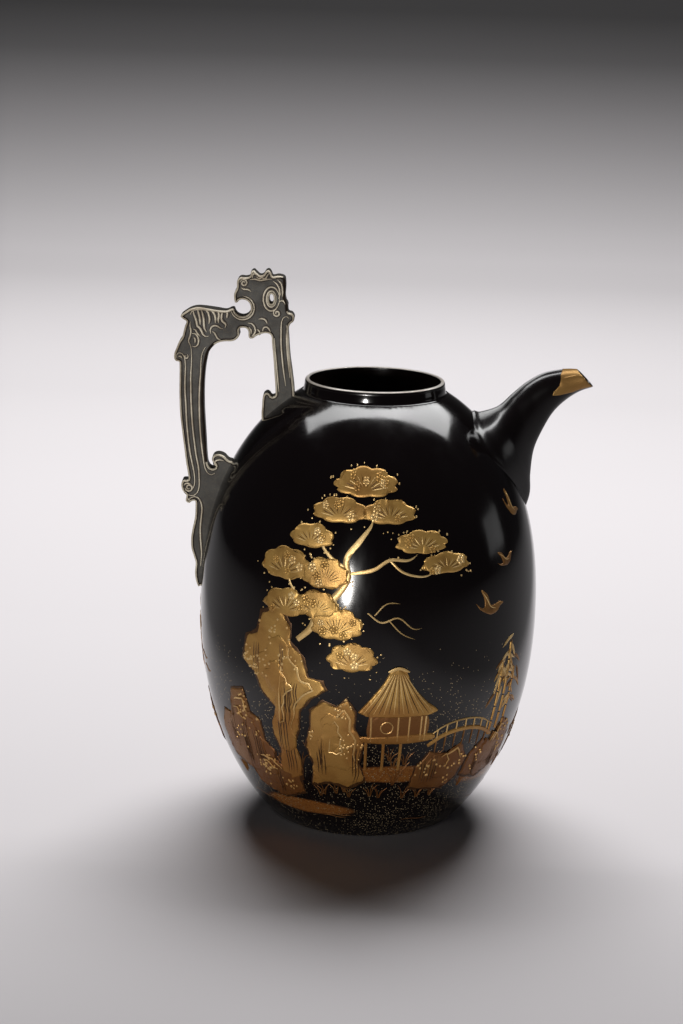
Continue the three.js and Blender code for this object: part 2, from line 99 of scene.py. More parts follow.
# %% A material and the nodes that make its look
class Paint:
    """A material. Numbers that hold all over the surface go straight to its shader."""

    def __init__(self, name, **shader_values):
        self.material = bpy.data.materials.new(name)
        self.material.use_nodes = True
        self.tree = self.material.node_tree
        self.shader = self.tree.nodes["Principled BSDF"]
        self.place = self.add("ShaderNodeTexCoord", output="Object")
        self.feed(**shader_values)

    def add(self, kind, settings=None, inputs=None, output=0):
        """Adds a node, sets it, fills its sockets and returns one of its outputs."""
        node = self.tree.nodes.new(kind)
        for key, value in (settings or {}).items():
            if key == "stops":
                while len(node.color_ramp.elements) < len(value):
                    node.color_ramp.elements.new(1)
                for stop, (position, colour) in zip(node.color_ramp.elements, value):
                    stop.position, stop.color = position, (*colour, 1)
            else:
                setattr(node, key, value)
        for key, value in (inputs or {}).items():
            self.fill(node.inputs[key], value)
        return Wire(self, node.outputs[output])

    def fill(self, socket, value):
        """Links a wire to a socket or sets its value. A colour is red, green and blue."""
        if isinstance(value, Wire):
            self.tree.links.new(value.socket, socket)
        else:
            socket.default_value = (*value, 1) if socket.type == "RGBA" else value

    def feed(self, **shader_values):
        """Gives the shader's sockets values or wires: base_color is Base Color."""
        for key, value in shader_values.items():
            name = key.replace("_", " ").title().replace("Ior", "IOR")
            self.fill(self.shader.inputs[name], value)

    def mix(self, factor, first, second):
        return self.add("ShaderNodeMix", {"data_type": "RGBA"},
                        {0: factor, 6: first, 7: second}, output=2)

    def noise(self, scale, detail=2, roughness=0.5, stretch=None):
        place = self.place
        if stretch:
            place = self.add("ShaderNodeMapping", None, {"Vector": place, "Scale": stretch})
        return self.add("ShaderNodeTexNoise", None,
                        {"Vector": place, "Scale": scale, "Detail": detail, "Roughness": roughness})

    def step(self, value, low, high, to_low=0.0, to_high=1.0):
        """Goes smoothly from to_low to to_high as the value goes from low to high."""
        return self.add("ShaderNodeMapRange", {"interpolation_type": "SMOOTHSTEP"}, {
            "Value": value, "From Min": low, "From Max": high, "To Min": to_low, "To Max": to_high})

    def along(self, axis):
        """The place along an axis of the ewer: 0 is x, 1 is y and 2 is height, in metres."""
        return self.add("ShaderNodeSeparateXYZ", None, {0: self.place}, output=axis)

    def bump(self, value, distance, strength=1.0):
        self.feed(normal=self.add("ShaderNodeBump", None, {
            "Height": value, "Distance": distance, "Strength": strength}))


print("a material can:", [name for name in vars(Paint) if not name.startswith("_")])

# %% [markdown]
# ## Black lacquer, and the gold in it
#
# Black lacquer is deep and glossy, and wiping leaves it a little duller in streaks.
# One dark colour would do, but a noise under it keeps wide surfaces alive. Towards
# the foot gold dust was sprinkled in, dense near the ground and thin above. An image
# could draw it. A Voronoi texture needs no image: each speck is one of its cells,
# kept where a random draw is below the share that is wanted there.

# %% Gold specks, and patches of orange-gold ground
DUST_SCALE = 1550
DUST_FOOT, DUST_TOP = 0.014, 0.104
SPECK_RADIUS, SPECK_SHARE = 0.32, 0.6
# A patch of ground is an ellipsoid: its middle and its half sizes, in metres.
GROUND = [((-0.026, -0.051, 0.0165), (0.024, 0.020, 0.0038)),
          ((0.012, -0.062, 0.0375), (0.025, 0.02, 0.0042)),
          ((0.055, -0.030, 0.030), (0.018, 0.026, 0.0050)),
          ((-0.052, 0.024, 0.026), (0.018, 0.034, 0.0050)),
          ((0.010, 0.058, 0.027), (0.034, 0.020, 0.0048)),
          ((0.050, 0.040, 0.040), (0.02, 0.024, 0.0045))]


def gold_specks(paint):
    """1 on a speck, 0 beside it. Dust is dense at the foot and gathers in clouds above."""
    height = paint.along(2)
    cloud = paint.step(paint.noise(34, 3, 0.6), 0.38, 0.62, 0.22, 1.0)
    share = paint.step(height, DUST_FOOT, DUST_TOP, 0.72, 0.0) * cloud
    share = share + paint.step(height, 0.0, 0.03, 0.12, 0.0)
    cells = {"Vector": paint.place, "Scale": DUST_SCALE, "Randomness": 1.0}
    near = paint.add("ShaderNodeTexVoronoi", None, cells)
    colour = paint.add("ShaderNodeTexVoronoi", None, cells, output=1)
    drawn = paint.add("ShaderNodeSeparateColor", None, {0: colour})
    return (drawn < share * SPECK_SHARE) * (near < SPECK_RADIUS)


def gold_ground(paint):
    """1 in a patch, 0 outside, with an edge that a noise makes ragged."""
    ragged = paint.noise(60, 3) * 0.5
    ground = None
    for centre, size in GROUND:
        away = paint.add("ShaderNodeVectorMath", {"operation": "SUBTRACT"}, {0: paint.place, 1: centre})
        away = paint.add("ShaderNodeVectorMath", {"operation": "DIVIDE"}, {0: away, 1: size})
        away = paint.add("ShaderNodeVectorMath", {"operation": "LENGTH"}, {0: away}, output=1)
        patch = paint.step(away + ragged, 0.98, 1.32, 1.0, 0.0)
        ground = patch if ground is None else ground.most(patch)
    return ground


print("patches of ground:", len(GROUND))

# %% Black lacquer, plain or with gold in it
LACQUER_IOR = 1.45
WIPED_DULLER = 0.09


def black_lacquer(name, gloss, gilded=False):
    paint = Paint(name, ior=LACQUER_IOR)
    tone = paint.mix(paint.noise(18, 3), (0.0022, 0.0015, 0.0017), (0.0042, 0.0028, 0.0030))
    wiped = paint.noise(60, 4, 0.6, (1, 1, 0.25))
    roughness = paint.step(wiped, 0.35, 0.75, gloss, gloss + WIPED_DULLER)
    surface = paint.noise(230, 2) * 0.5
    if gilded:
        specks, ground = gold_specks(paint), gold_ground(paint)
        powder = paint.step(paint.noise(1500, 2, 0.8), 0.38, 0.6) * ground
        tone = paint.mix(ground * 0.8, tone, (0.115, 0.036, 0.008))
        tone = paint.mix(powder * 0.55, tone, (0.33, 0.135, 0.030))
        tone = paint.mix(specks, tone, (0.34, 0.26, 0.15))
        metal = (specks * 0.4).most(powder * 0.4)
        paint.feed(metallic=metal)
        roughness = roughness.most(metal * 0.42)
        surface = surface + specks * 0.35
    paint.feed(base_color=tone, roughness=roughness)
    paint.bump(surface, 0.00006, 0.35)
    return paint


body_lacquer = black_lacquer("lacquer_body", 0.085, gilded=True)
spout_lacquer = black_lacquer("lacquer_spout", 0.2)
print("nodes with and without gold:", len(body_lacquer.tree.nodes), len(spout_lacquer.tree.nodes))

# %% [markdown]
# ## The other lacquers
#
# The inside is brown lacquer. The rim's top is pale and its outside black. The
# handle's boards are grey-brown with fine metal powder, paler on the edges, which
# hands wear, and painted darker as shade in the grooves and on edges turned from the light.
# Each could be mixed on its own, but the handle's three differ only in colour and sheen, so one function
# mixes them.

# %% Brown inner lacquer and the rim line with its pale top
lining_lacquer = Paint("lacquer_inside", coat_weight=0.25, coat_roughness=0.2)
cloudy = lining_lacquer.noise(40, 4)
lining_lacquer.feed(
    base_color=lining_lacquer.mix(cloudy, (0.006, 0.0032, 0.0026), (0.014, 0.0075, 0.006)),
    roughness=lining_lacquer.step(lining_lacquer.noise(90, 3), 0.3, 0.7, 0.14, 0.24))
lining_lacquer.bump(lining_lacquer.noise(300, 2), 0.0001, 0.3)

rim_pale = Paint("rim_pale", metallic=0.3)
worn = rim_pale.step(rim_pale.noise(60, 4, 0.7), 0.46, 0.72)
rim_pale.feed(base_color=rim_pale.mix(worn, (0.56, 0.52, 0.48), (0.33, 0.29, 0.25)),
              roughness=rim_pale.step(worn, 0, 1, 0.34, 0.5))
rim_pale.bump(rim_pale.noise(900, 2), 0.00003, 0.3)
print("inside and rim nodes:", len(lining_lacquer.tree.nodes), len(rim_pale.tree.nodes))

# %% The handle's field, edge and groove
POWDER = (0.42, 0.33, 0.22)


def handle_paint(name, light, dark, metallic, grain, sheen):
    """Grey-brown lacquer with fine metal powder, rubbed thin in places."""
    paint = Paint(name, specular_ior_level=sheen)
    rubbed = paint.step(paint.noise(120, 4, 0.65), 0.35, 0.7)
    powder = paint.step(paint.noise(2200, 1), 0.52, 0.66)
    tone = paint.mix(rubbed, light, dark)
    paint.feed(base_color=paint.mix(powder * grain, tone, POWDER),
               metallic=powder * 0.3 + metallic, roughness=paint.step(rubbed, 0, 1, 0.44, 0.50))
    paint.bump(paint.noise(700, 3), 0.00008, 0.3)
    return paint


# Name: light and dark colour, metallic, share of powder and sheen.
HANDLE_FINISHES = {
    "handle_field": ((0.033, 0.0315, 0.0275), (0.023, 0.0205, 0.0175), 0.05, 0.06, 0.22),
    "handle_edge": ((0.66, 0.60, 0.48), (0.36, 0.30, 0.22), 0.1, 0.2, 0.4),
    # The groove's dark brown is painted shade, for the grooves and for edges turned from the light.
    "handle_shade_groove": ((0.020, 0.013, 0.009), (0.010, 0.0065, 0.005), 0.0, 0.03, 0.15)}
handle_field, handle_edge, handle_shade_groove = (
    handle_paint(name, *look) for name, look in HANDLE_FINISHES.items())
print("handle paints:", handle_field.material.name, handle_edge.material.name, handle_shade_groove.material.name)

# %% [markdown]
# ## Gold powder
#
# Gold here is powder on lacquer and not leaf, so it is grainy and never a mirror. It
# could be one full metal with a bump. Five mixes of one recipe are nearer: bright
# for what stands out, low for what lies behind, pale for lines, brown for cuts and
# one for the spout's tip. Low on the ewer all of them turn redder and darker.

# %% Five golds from one recipe
EMBER_FOOT, EMBER_TOP = 0.03, 0.10
DULL_GRAIN = (0.16, 0.075, 0.02)


def gold_paint(name, light, dark, warm, roughness):
    """Gold powder on lacquer: grainy, thinner in clouds, and redder and darker in patches and towards the
    foot.
    """
    paint = Paint(name, metallic=0.6)
    thin = paint.step(paint.noise(75, 4, 0.6), 0.38, 0.72)
    ember = paint.step(paint.noise(26, 3, 0.6), 0.45, 0.62) * 0.5
    ember = ember + paint.step(paint.along(2), EMBER_FOOT, EMBER_TOP, 0.62, 0.0)
    grain = paint.noise(2600, 2, 0.7)
    tone = paint.mix(ember, paint.mix(thin, light, dark), warm)
    tone = paint.mix(paint.step(grain, 0.5, 0.75) * 0.4, tone, DULL_GRAIN)
    paint.feed(base_color=tone, roughness=paint.step(grain, 0.3, 0.7, roughness, roughness + 0.16))
    paint.bump(grain, 0.00012, 0.45)
    return paint


# Name: light, dark and warm colour, and roughness.
GOLD_MIXES = {
    "gold_bright": ((0.50, 0.30, 0.085), (0.32, 0.175, 0.045), (0.27, 0.115, 0.024), 0.34),
    "gold_low": ((0.26, 0.130, 0.035), (0.13, 0.056, 0.015), (0.145, 0.052, 0.011), 0.38),
    "gold_line": ((0.74, 0.53, 0.24), (0.54, 0.35, 0.13), (0.48, 0.27, 0.09), 0.32),
    "gold_beak": ((0.37, 0.22, 0.065), (0.22, 0.12, 0.032), (0.2, 0.085, 0.018), 0.36),
    "gold_cut": ((0.085, 0.040, 0.012), (0.035, 0.016, 0.006), (0.05, 0.018, 0.005), 0.4)}
gold, gold_low, gold_line, gold_beak, gold_cut = (
    gold_paint(name, *look) for name, look in GOLD_MIXES.items())
print("materials:", len(bpy.data.materials))

# %% [markdown]
# ## Small tools for the bench
#
# A turned piece is a profile that is spun. A moulded strip is a small ring that is
# extruded from point to point along a line. A curve object with a bevel could make
# strips too, but its width can't taper at both ends and its foot can't lie flat. Both
# ways here start from a few vertices, and the operators do the rest.

# %% Smooth lines through a few points
def spline(points, share):
    """The point at a share of the way along a centripetal Catmull-Rom line."""
    place = min(share, 1 - 1e-9) * (len(points) - 1)
    first = int(place)
    local = place - first
    ends = [Vector(p) for p in points]
    ends = [ends[0] * 2 - ends[1], *ends, ends[-1] * 2 - ends[-2]]
    p = ends[first:first + 4]
    gaps = [max((b - a).length, 1e-6) ** 0.5 for a, b in zip(p, p[1:])]

    def slope(i):
        """The line's direction at p[i], scaled to the span from p[1] to p[2]."""
        before, after = gaps[i - 1], gaps[i]
        across = (p[i + 1] - p[i - 1]) / (before + after)
        return ((p[i] - p[i - 1]) / before - across + (p[i + 1] - p[i]) / after) * gaps[1]

    leave, reach = slope(1), slope(2)
    return (p[1] + leave * local + (p[2] * 3 - p[1] * 3 - leave * 2 - reach) * local ** 2
            + (p[1] * 2 - p[2] * 2 + leave + reach) * local ** 3)


FINE_STEPS = 8  # points on the spline from one given point to the next


def smooth_line(points, spacing, closed=False):
    """Points an even distance apart on the smooth line through the given ones."""
    if closed:
        points = [*points, points[0]]
    steps = FINE_STEPS * (len(points) - 1)
    fine = [spline(points, i / steps) for i in range(steps + 1)]
    runs = [0.0]
    for a, b in zip(fine, fine[1:]):
        runs.append(runs[-1] + (b - a).length)
    count = max(2, round(runs[-1] / spacing))
    found, at = [], 0
    for i in range(count + (0 if closed else 1)):
        target = runs[-1] * i / count
        while at < len(runs) - 2 and runs[at + 1] < target:
            at += 1
        step = (target - runs[at]) / max(runs[at + 1] - runs[at], 1e-9)
        found.append(fine[at].lerp(fine[at + 1], min(1, max(0, step))))
    return found


print("points on a quarter circle, 1 mm apart:", len(smooth_line([(10, 0), (7.07, 7.07), (0, 10)], 1)))

# %% Sorting what an operator gives back, and turning
def only(kind, geometry):
    return [g for g in geometry if isinstance(g, kind)]


def corners_of(faces):
    return list({v for f in faces for v in f.verts})


def span_of(outline):
    """The lowest and highest first value of the points, then of their second."""
    return [(min(values), max(values)) for values in zip(*outline)]


def turned(profile, closed=False, steps=160):
    """A profile of (radius, height) points spun round the Z axis."""
    bm = bmesh.new()
    points = [bm.verts.new((r, 0, z)) for r, z in profile]
    pairs = zip(points, points[1:] + points[:1] if closed else points[1:])
    edges = [bm.edges.new(pair) for pair in pairs]
    bmesh.ops.spin(bm, geom=points + edges, axis=(0, 0, 1), angle=math.tau, steps=steps, use_merge=True)
    bmesh.ops.remove_doubles(bm, verts=bm.verts, dist=0.002)
    bmesh.ops.recalc_face_normals(bm, faces=bm.faces)
    return bm


print("the span of three points:", span_of([(0, 1), (2, 0), (1, 3)]))

# %% Sweeping a ridge along a line
def pour(bit, bm, paint=0):
    """Adds a small bench mesh to a larger one. An operator's time grows with its whole mesh."""
    for face in bit.faces:
        face.material_index = paint
    mesh = bpy.data.meshes.new("bit")
    bit.to_mesh(mesh)
    bit.free()
    bm.from_mesh(mesh, face_normals=False, vertex_normals=False)
    bpy.data.meshes.remove(mesh)


def next_ring(bm, ring, edges):
    """Extrudes a ring once. The new ring's vertices come back in the old one's order."""
    out = bmesh.ops.extrude_edge_only(bm, edges=edges)["geom"]
    new, old = set(only(BMVert, out)), set(ring)
    edges = [e for e in only(BMEdge, out) if set(e.verts) <= new]
    above = {next(e.other_vert(v) for e in v.link_edges if e.other_vert(v) in old): v for v in new}
    return [above[v] for v in ring], edges


def swell_at(share, taper):
    """A ridge's fullness: it grows from and falls to its taper in its end quarters."""
    first, last = taper
    return (first + (1 - first) * min(1, share * 4)) * (last + (1 - last) * min(1, (1 - share) * 4))


def sweep(big, points, width, height, level, taper=(1, 1), sides=6, paint=0):
    """A rounded ridge along (x, z) points, standing on the plane at y = level."""
    first_width, last_width = width if isinstance(width, tuple) else (width, width)
    bm = bmesh.new()
    ring = bmesh.ops.create_circle(bm, cap_ends=True, segments=sides, radius=1)["verts"]
    edges = list({e for v in ring for e in v.link_edges})
    template = [v.co.copy() for v in ring]
    last = len(points) - 1
    for i, point in enumerate(points):
        if i:
            ring, edges = next_ring(bm, ring, edges)
        ahead = (points[min(i + 1, last)] - points[max(i - 1, 0)]).normalized()
        side = Vector((ahead.y, -ahead.x))
        swell = swell_at(i / last, taper)
        wide = (first_width + (last_width - first_width) * i / last) * swell
        for v, t in zip(ring, template):
            across = side * (t.x * wide / 2)
            v.co = (point.x + across.x, level - t.y * height * swell, point.y + across.y)
    bmesh.ops.contextual_create(bm, geom=edges)
    pour(bm, big, paint)


print("a ridge is full at its middle:", swell_at(0.5, (0.2, 0.2)))

# %% Finishing a piece: metres, materials and body
def mesh_from(bm, name, paints):
    mesh = bpy.data.meshes.new(name)
    bm.to_mesh(mesh)
    bm.free()
    for paint in paints:
        mesh.materials.append(paint.material)
    mesh.shade_smooth()
    return mesh


def into_scene(name, data):
    thing = bpy.data.objects.new(name, data)
    bpy.context.scene.collection.objects.link(thing)
    return thing


def finish_piece(bm, name, paints, replaces=(), sharp=38):
    bmesh.ops.scale(bm, vec=(MM, MM, MM), verts=bm.verts)
    mesh = mesh_from(bm, name, paints)
    mesh.set_sharp_from_angle(angle=math.radians(sharp))
    piece = into_scene(name, mesh)
    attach(piece, "root")
    if replaces:
        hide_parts(*replaces)
    print(f"{name}: {len(mesh.polygons)} faces")
    return piece


print("a finished piece shrinks from millimetres to metres, times", MM)

# %% [markdown]
# ## The turned body
#
# The egg is two curves of the same family, one up to the neck and one down to the
# foot. A sphere could be squashed to an egg, but a neck and a foot would have to be
# joined to it, while a turned profile has them from the start. The black skin and the
# brown lining are separate coats on one wall, so each is a closed shell of half the
# wall. The numbers are the CAD's own, but for the belly, which leaves room for the
# gold, and the neck, which is 0.4 mm wider in radius.

# %% The body's curve
CAD_BELLY = 75.0
RELIEF_ROOM = 0.3  # room for the gold at the girth, inside the CAD's box
BELLY, GIRTH, FOOT, NECK_SEAT, NECK_FOOT = CAD_BELLY - RELIEF_ROOM, 95.0, 41.2, 190.0, 34.3
CROWN_FULLNESS, BOWL_FULLNESS = 2.3, 2.08
COVE, NECK, MOUTH, COLLAR_TOP = 1.5, 31.1, 28.8, 195.4
WALL, FLOOR = 4.0, 5.0


def pole(run, end, fullness):
    return run / (1 - (end / BELLY) ** 2) ** (1 / fullness)


CROWN_DEPTH = pole(NECK_SEAT - GIRTH, NECK_FOOT, CROWN_FULLNESS)
BOWL_DEPTH = pole(GIRTH, FOOT, BOWL_FULLNESS)


def body_radius(z, inset=0.0):
    """Radius of the egg at a height, on the surface that lies inset inside it."""
    above = z > GIRTH
    depth = (CROWN_DEPTH if above else BOWL_DEPTH) - inset
    share = min(1.0, abs(z - GIRTH) / depth)
    return (BELLY - inset) * math.sqrt(1 - share ** (CROWN_FULLNESS if above else BOWL_FULLNESS))


def crown_height(radius, inset=0.0):
    share = radius / (BELLY - inset)
    return GIRTH + (CROWN_DEPTH - inset) * (1 - share * share) ** (1 / CROWN_FULLNESS)


def wall_curve(z_from, z_to, inset, spans):
    """Profile points of the egg, closer together near its two ends."""
    points = []
    for i in range(spans + 1):
        z = (z_from + z_to) / 2 - (z_to - z_from) / 2 * math.cos(math.pi * i / spans)
        points.append((body_radius(z, inset), z))
    return points


def around(x, z, half_x, half_z, angle):
    """A point of the upright ellipse about (x, z)."""
    return Vector((x + half_x * math.cos(angle), z + half_z * math.sin(angle)))


def corner(r, z, radius, start, end, steps=6):
    """An arc of a profile about (r, z), angles in degrees."""
    angles = [math.radians(start + (end - start) * i / steps) for i in range(steps + 1)]
    return [around(r, z, radius, radius, angle) for angle in angles]


print("radii at 40, 95 and 160 mm:", [round(body_radius(z), 1) for z in (40, 95, 160)])

# %% The black skin
HALF_WALL = WALL / 2
BASE_JOINT, JOINT_GROOVE = 29.9, 0.3
# The neck is a faint barrel.
NECK_SIDE = [(NECK, 192.4), (NECK - 0.06, 193.2), (NECK - 0.2, 194.2), (NECK - 0.42, COLLAR_TOP)]
skin_profile = [(0, 0), (BASE_JOINT - JOINT_GROOVE, 0), (BASE_JOINT, 0.4), (BASE_JOINT + JOINT_GROOVE, 0),
                *corner(FOOT - 0.9, 0.8, 0.8, 270, 352, 5),
                *wall_curve(0.9, crown_height(NECK + COVE), 0, 110),
                *corner(NECK + COVE, crown_height(NECK + COVE) + COVE, COVE, 255, 180, 8), *NECK_SIDE,
                (MOUTH + 0.9, COLLAR_TOP), (MOUTH + 0.9, crown_height(MOUTH + 0.9, HALF_WALL)),
                *wall_curve(HALF_WALL, crown_height(MOUTH + 1.4, HALF_WALL), HALF_WALL, 40)[::-1],
                (0, HALF_WALL)]
finish_piece(turned(skin_profile), "ewer_skin", [body_lacquer],
             ["body_lower", "body_upper", "base_disc", "neck_collar"])

# %% The brown lining and the rim line
INNER = HALF_WALL + 0.1
SPIGOT_SIDE, SPIGOT_FOOT = 31.1, 184.2
lining_profile = [(0, INNER), *wall_curve(INNER, crown_height(MOUTH + 1.4, INNER), INNER, 40),
                  (MOUTH + 0.8, crown_height(MOUTH + 0.8, INNER)), (MOUTH + 0.8, COLLAR_TOP),
                  (MOUTH, COLLAR_TOP), (MOUTH, SPIGOT_FOOT), (MOUTH + 0.5, SPIGOT_FOOT - 0.5),
                  (SPIGOT_SIDE, crown_height(SPIGOT_SIDE, WALL)),
                  *wall_curve(FLOOR, crown_height(SPIGOT_SIDE + 0.3, WALL), WALL, 60)[::-1], (0, FLOOR)]
finish_piece(turned(lining_profile), "ewer_lining", [lining_lacquer])

RIM_RISE, LIP, LIP_OUT, LIP_ROUND = 1.6, 29.7, 0.98, 0.45
rim_top = COLLAR_TOP + RIM_RISE
line_foot = rim_top - 0.4
lip_turns = [math.radians(7.5 * i) for i in range(13)]
lip_line = [around(LIP, COLLAR_TOP, LIP_OUT, RIM_RISE, angle) for angle in lip_turns]
lip_inside = corner(MOUTH + LIP_ROUND, rim_top - LIP_ROUND, LIP_ROUND, 90, 180, 5)
bm = turned([(MOUTH, COLLAR_TOP), *lip_line, *lip_inside], closed=True)
# Faces near the top take the pale paint, and the rest take the black.
for face in bm.faces:
    face.material_index = 0 if face.calc_center_median().z > line_foot else 1
finish_piece(bm, "rim_line", [rim_pale, spout_lacquer], ["rim_ring"])

# %% [markdown]
# ## The spout
#
# It was carved in two halves and glued, because a straight drill can't follow its
# bend. A curve with a bevel would give a pipe, but this spout's section changes all
# the way, from a wide drop at the root to a small ring at the slanting lip. So one
# ring of points is extruded from the root to the lip and back down the bore, and
# every ring is laid on section lines: top, underside and half width.

# %% Section lines of the spout
SPOUT_REACH, SPOUT_TIP, SPOUT_CUT = 95.4, 196.6, 7.4
ROOT_HALF, TIP_HALF = 19.0, 4.6
ROOT_TOP, ROOT_FOOT, STANDOFF = 183.0, 147.0, 2.8
# Shares of the run and of the rise, from the root to the tip.
TOP_LINE = [(-0.2, -0.12), (0, 0), (0.19, 0.16), (0.34, 0.45), (0.48, 0.7), (0.65, 0.9), (0.81, 0.98),
            (0.91, 1), (1, 1)]
UNDER_LINE = [(-0.17, -0.2), (0, 0), (0, 0.2), (0.04, 0.42), (0.17, 0.6), (0.35, 0.77), (0.58, 0.89),
              (0.79, 0.96), (1, 1)]
# Shares of the half width over the tip's, and how drop-shaped the section is.
WIDTHS = [(1.1, 0.6), (0.9, 0.6), (0.5, 0.45), (0.3, 0.3), (0.2, 0.2), (0.14, 0.12), (0.07, 0.06), (0.02, 0),
          (0, 0)]
top_x, under_x = body_radius(ROOT_TOP) + STANDOFF, body_radius(ROOT_FOOT) + STANDOFF
lip_x, lip_z = SPOUT_REACH - SPOUT_CUT, SPOUT_TIP + SPOUT_CUT
top_line = [(top_x + run * (lip_x - top_x), ROOT_TOP + rise * (lip_z - ROOT_TOP)) for run, rise in TOP_LINE]
under_line = [(under_x + run * (SPOUT_REACH - under_x), ROOT_FOOT + rise * (SPOUT_TIP - ROOT_FOOT))
              for run, rise in UNDER_LINE]
width_line = [(TIP_HALF + share * (ROOT_HALF - TIP_HALF), drop) for share, drop in WIDTHS]
print(f"the spout's root is {top_line[1][1] - under_line[1][1]:.0f} mm high and {2 * ROOT_HALF:.0f} wide")

# %% A point of the spout's surface
FLARE_REACH, FLARE = 4, 1.3


def spout_point(along, angle, inset):
    """A point of the spout's surface, or of one set in from it, in millimetres."""
    top, under, (half, drop) = spline(top_line, along), spline(under_line, along), spline(width_line, along)
    middle, up = (top + under) / 2, (top - under) / 2
    up = up * (1 - inset / up.length)
    high, across = math.cos(angle), math.sin(angle)
    side = (half - inset) * (1 + drop * high) * across
    return Vector((middle.x + up.x * high, side, middle.y + up.y * high)), middle


def held_in_wall(point, middle, depth, flare):
    """Keeps the root inside the body's wall, and spreads it a little where it meets it."""
    radius = math.hypot(point.x, point.y)
    out = radius - body_radius(min(point.z, NECK_SEAT))
    if flare and out < FLARE_REACH:
        away = Vector((0, point.y, point.z - middle.y)).normalized()
        point = point + away * FLARE * min(1, (FLARE_REACH - out) / FLARE_REACH) ** 2
        radius = math.hypot(point.x, point.y)
    least = body_radius(min(point.z, NECK_SEAT), depth)
    if radius < least:
        point = Vector((point.x * least / radius, point.y * least / radius, point.z))
    return point


tip_top, _ = spout_point(1, 0, 0)
print("top of the tip, mm:", tuple(round(c, 1) for c in tip_top))

# %% Extrude the ring up the spout and down the bore
SPOUT_SIDES, RINGS_UP, RINGS_DOWN = 88, 110, 32
TIP_WALL, ROOT_WALL = 1.3, 5.5
OUTER_DEPTH, BORE_DEPTH = 2.6, 2.4  # how far the skin and the bore reach into the body's wall
# A station is a share of the way, how far in from the surface, and whether the root flares.
stations = [(i / RINGS_UP, 0.0, True) for i in range(RINGS_UP - 2)]
stations += [(0.985, 0.02, False), (0.994, 0.10, False), (1.0, 0.35, False), (1.0, 1.0, False),
             (0.994, 1.25, False)]
stations += [(i / RINGS_DOWN, TIP_WALL + (ROOT_WALL - TIP_WALL) * (1 - i / RINGS_DOWN), False)
             for i in range(RINGS_DOWN - 1, -1, -1)]
bm = bmesh.new()
ring = bmesh.ops.create_circle(bm, segments=SPOUT_SIDES, radius=1)["verts"]
first_ring = set(ring)
edges = list({e for v in ring for e in v.link_edges})
for number, (along, inset, flare) in enumerate(stations):
    if number:
        ring, edges = next_ring(bm, ring, edges)
    for i, v in enumerate(ring):
        point, middle = spout_point(along, math.tau * i / SPOUT_SIDES, inset)
        v.co = held_in_wall(point, middle, OUTER_DEPTH if inset < TIP_WALL - 0.1 else BORE_DEPTH, flare)
bmesh.ops.bridge_loops(bm, edges=edges + [e for e in bm.edges if set(e.verts) <= first_ring])
bmesh.ops.remove_doubles(bm, verts=bm.verts, dist=0.001)
bmesh.ops.recalc_face_normals(bm, faces=bm.faces)
spout = finish_piece(bm, "spout", [spout_lacquer], ["spout_front", "spout_back"])

# %% [markdown]
# ## The handle
#
# Three carved boards of one thickness, lacquered grey and lined with pale gold
# round every edge. A bevel would round the edge but leave no bead. So the outline is
# filled, given its thickness, and then inset in small steps that rise to a bead and
# fall to the flat field. Its mirror is the back.

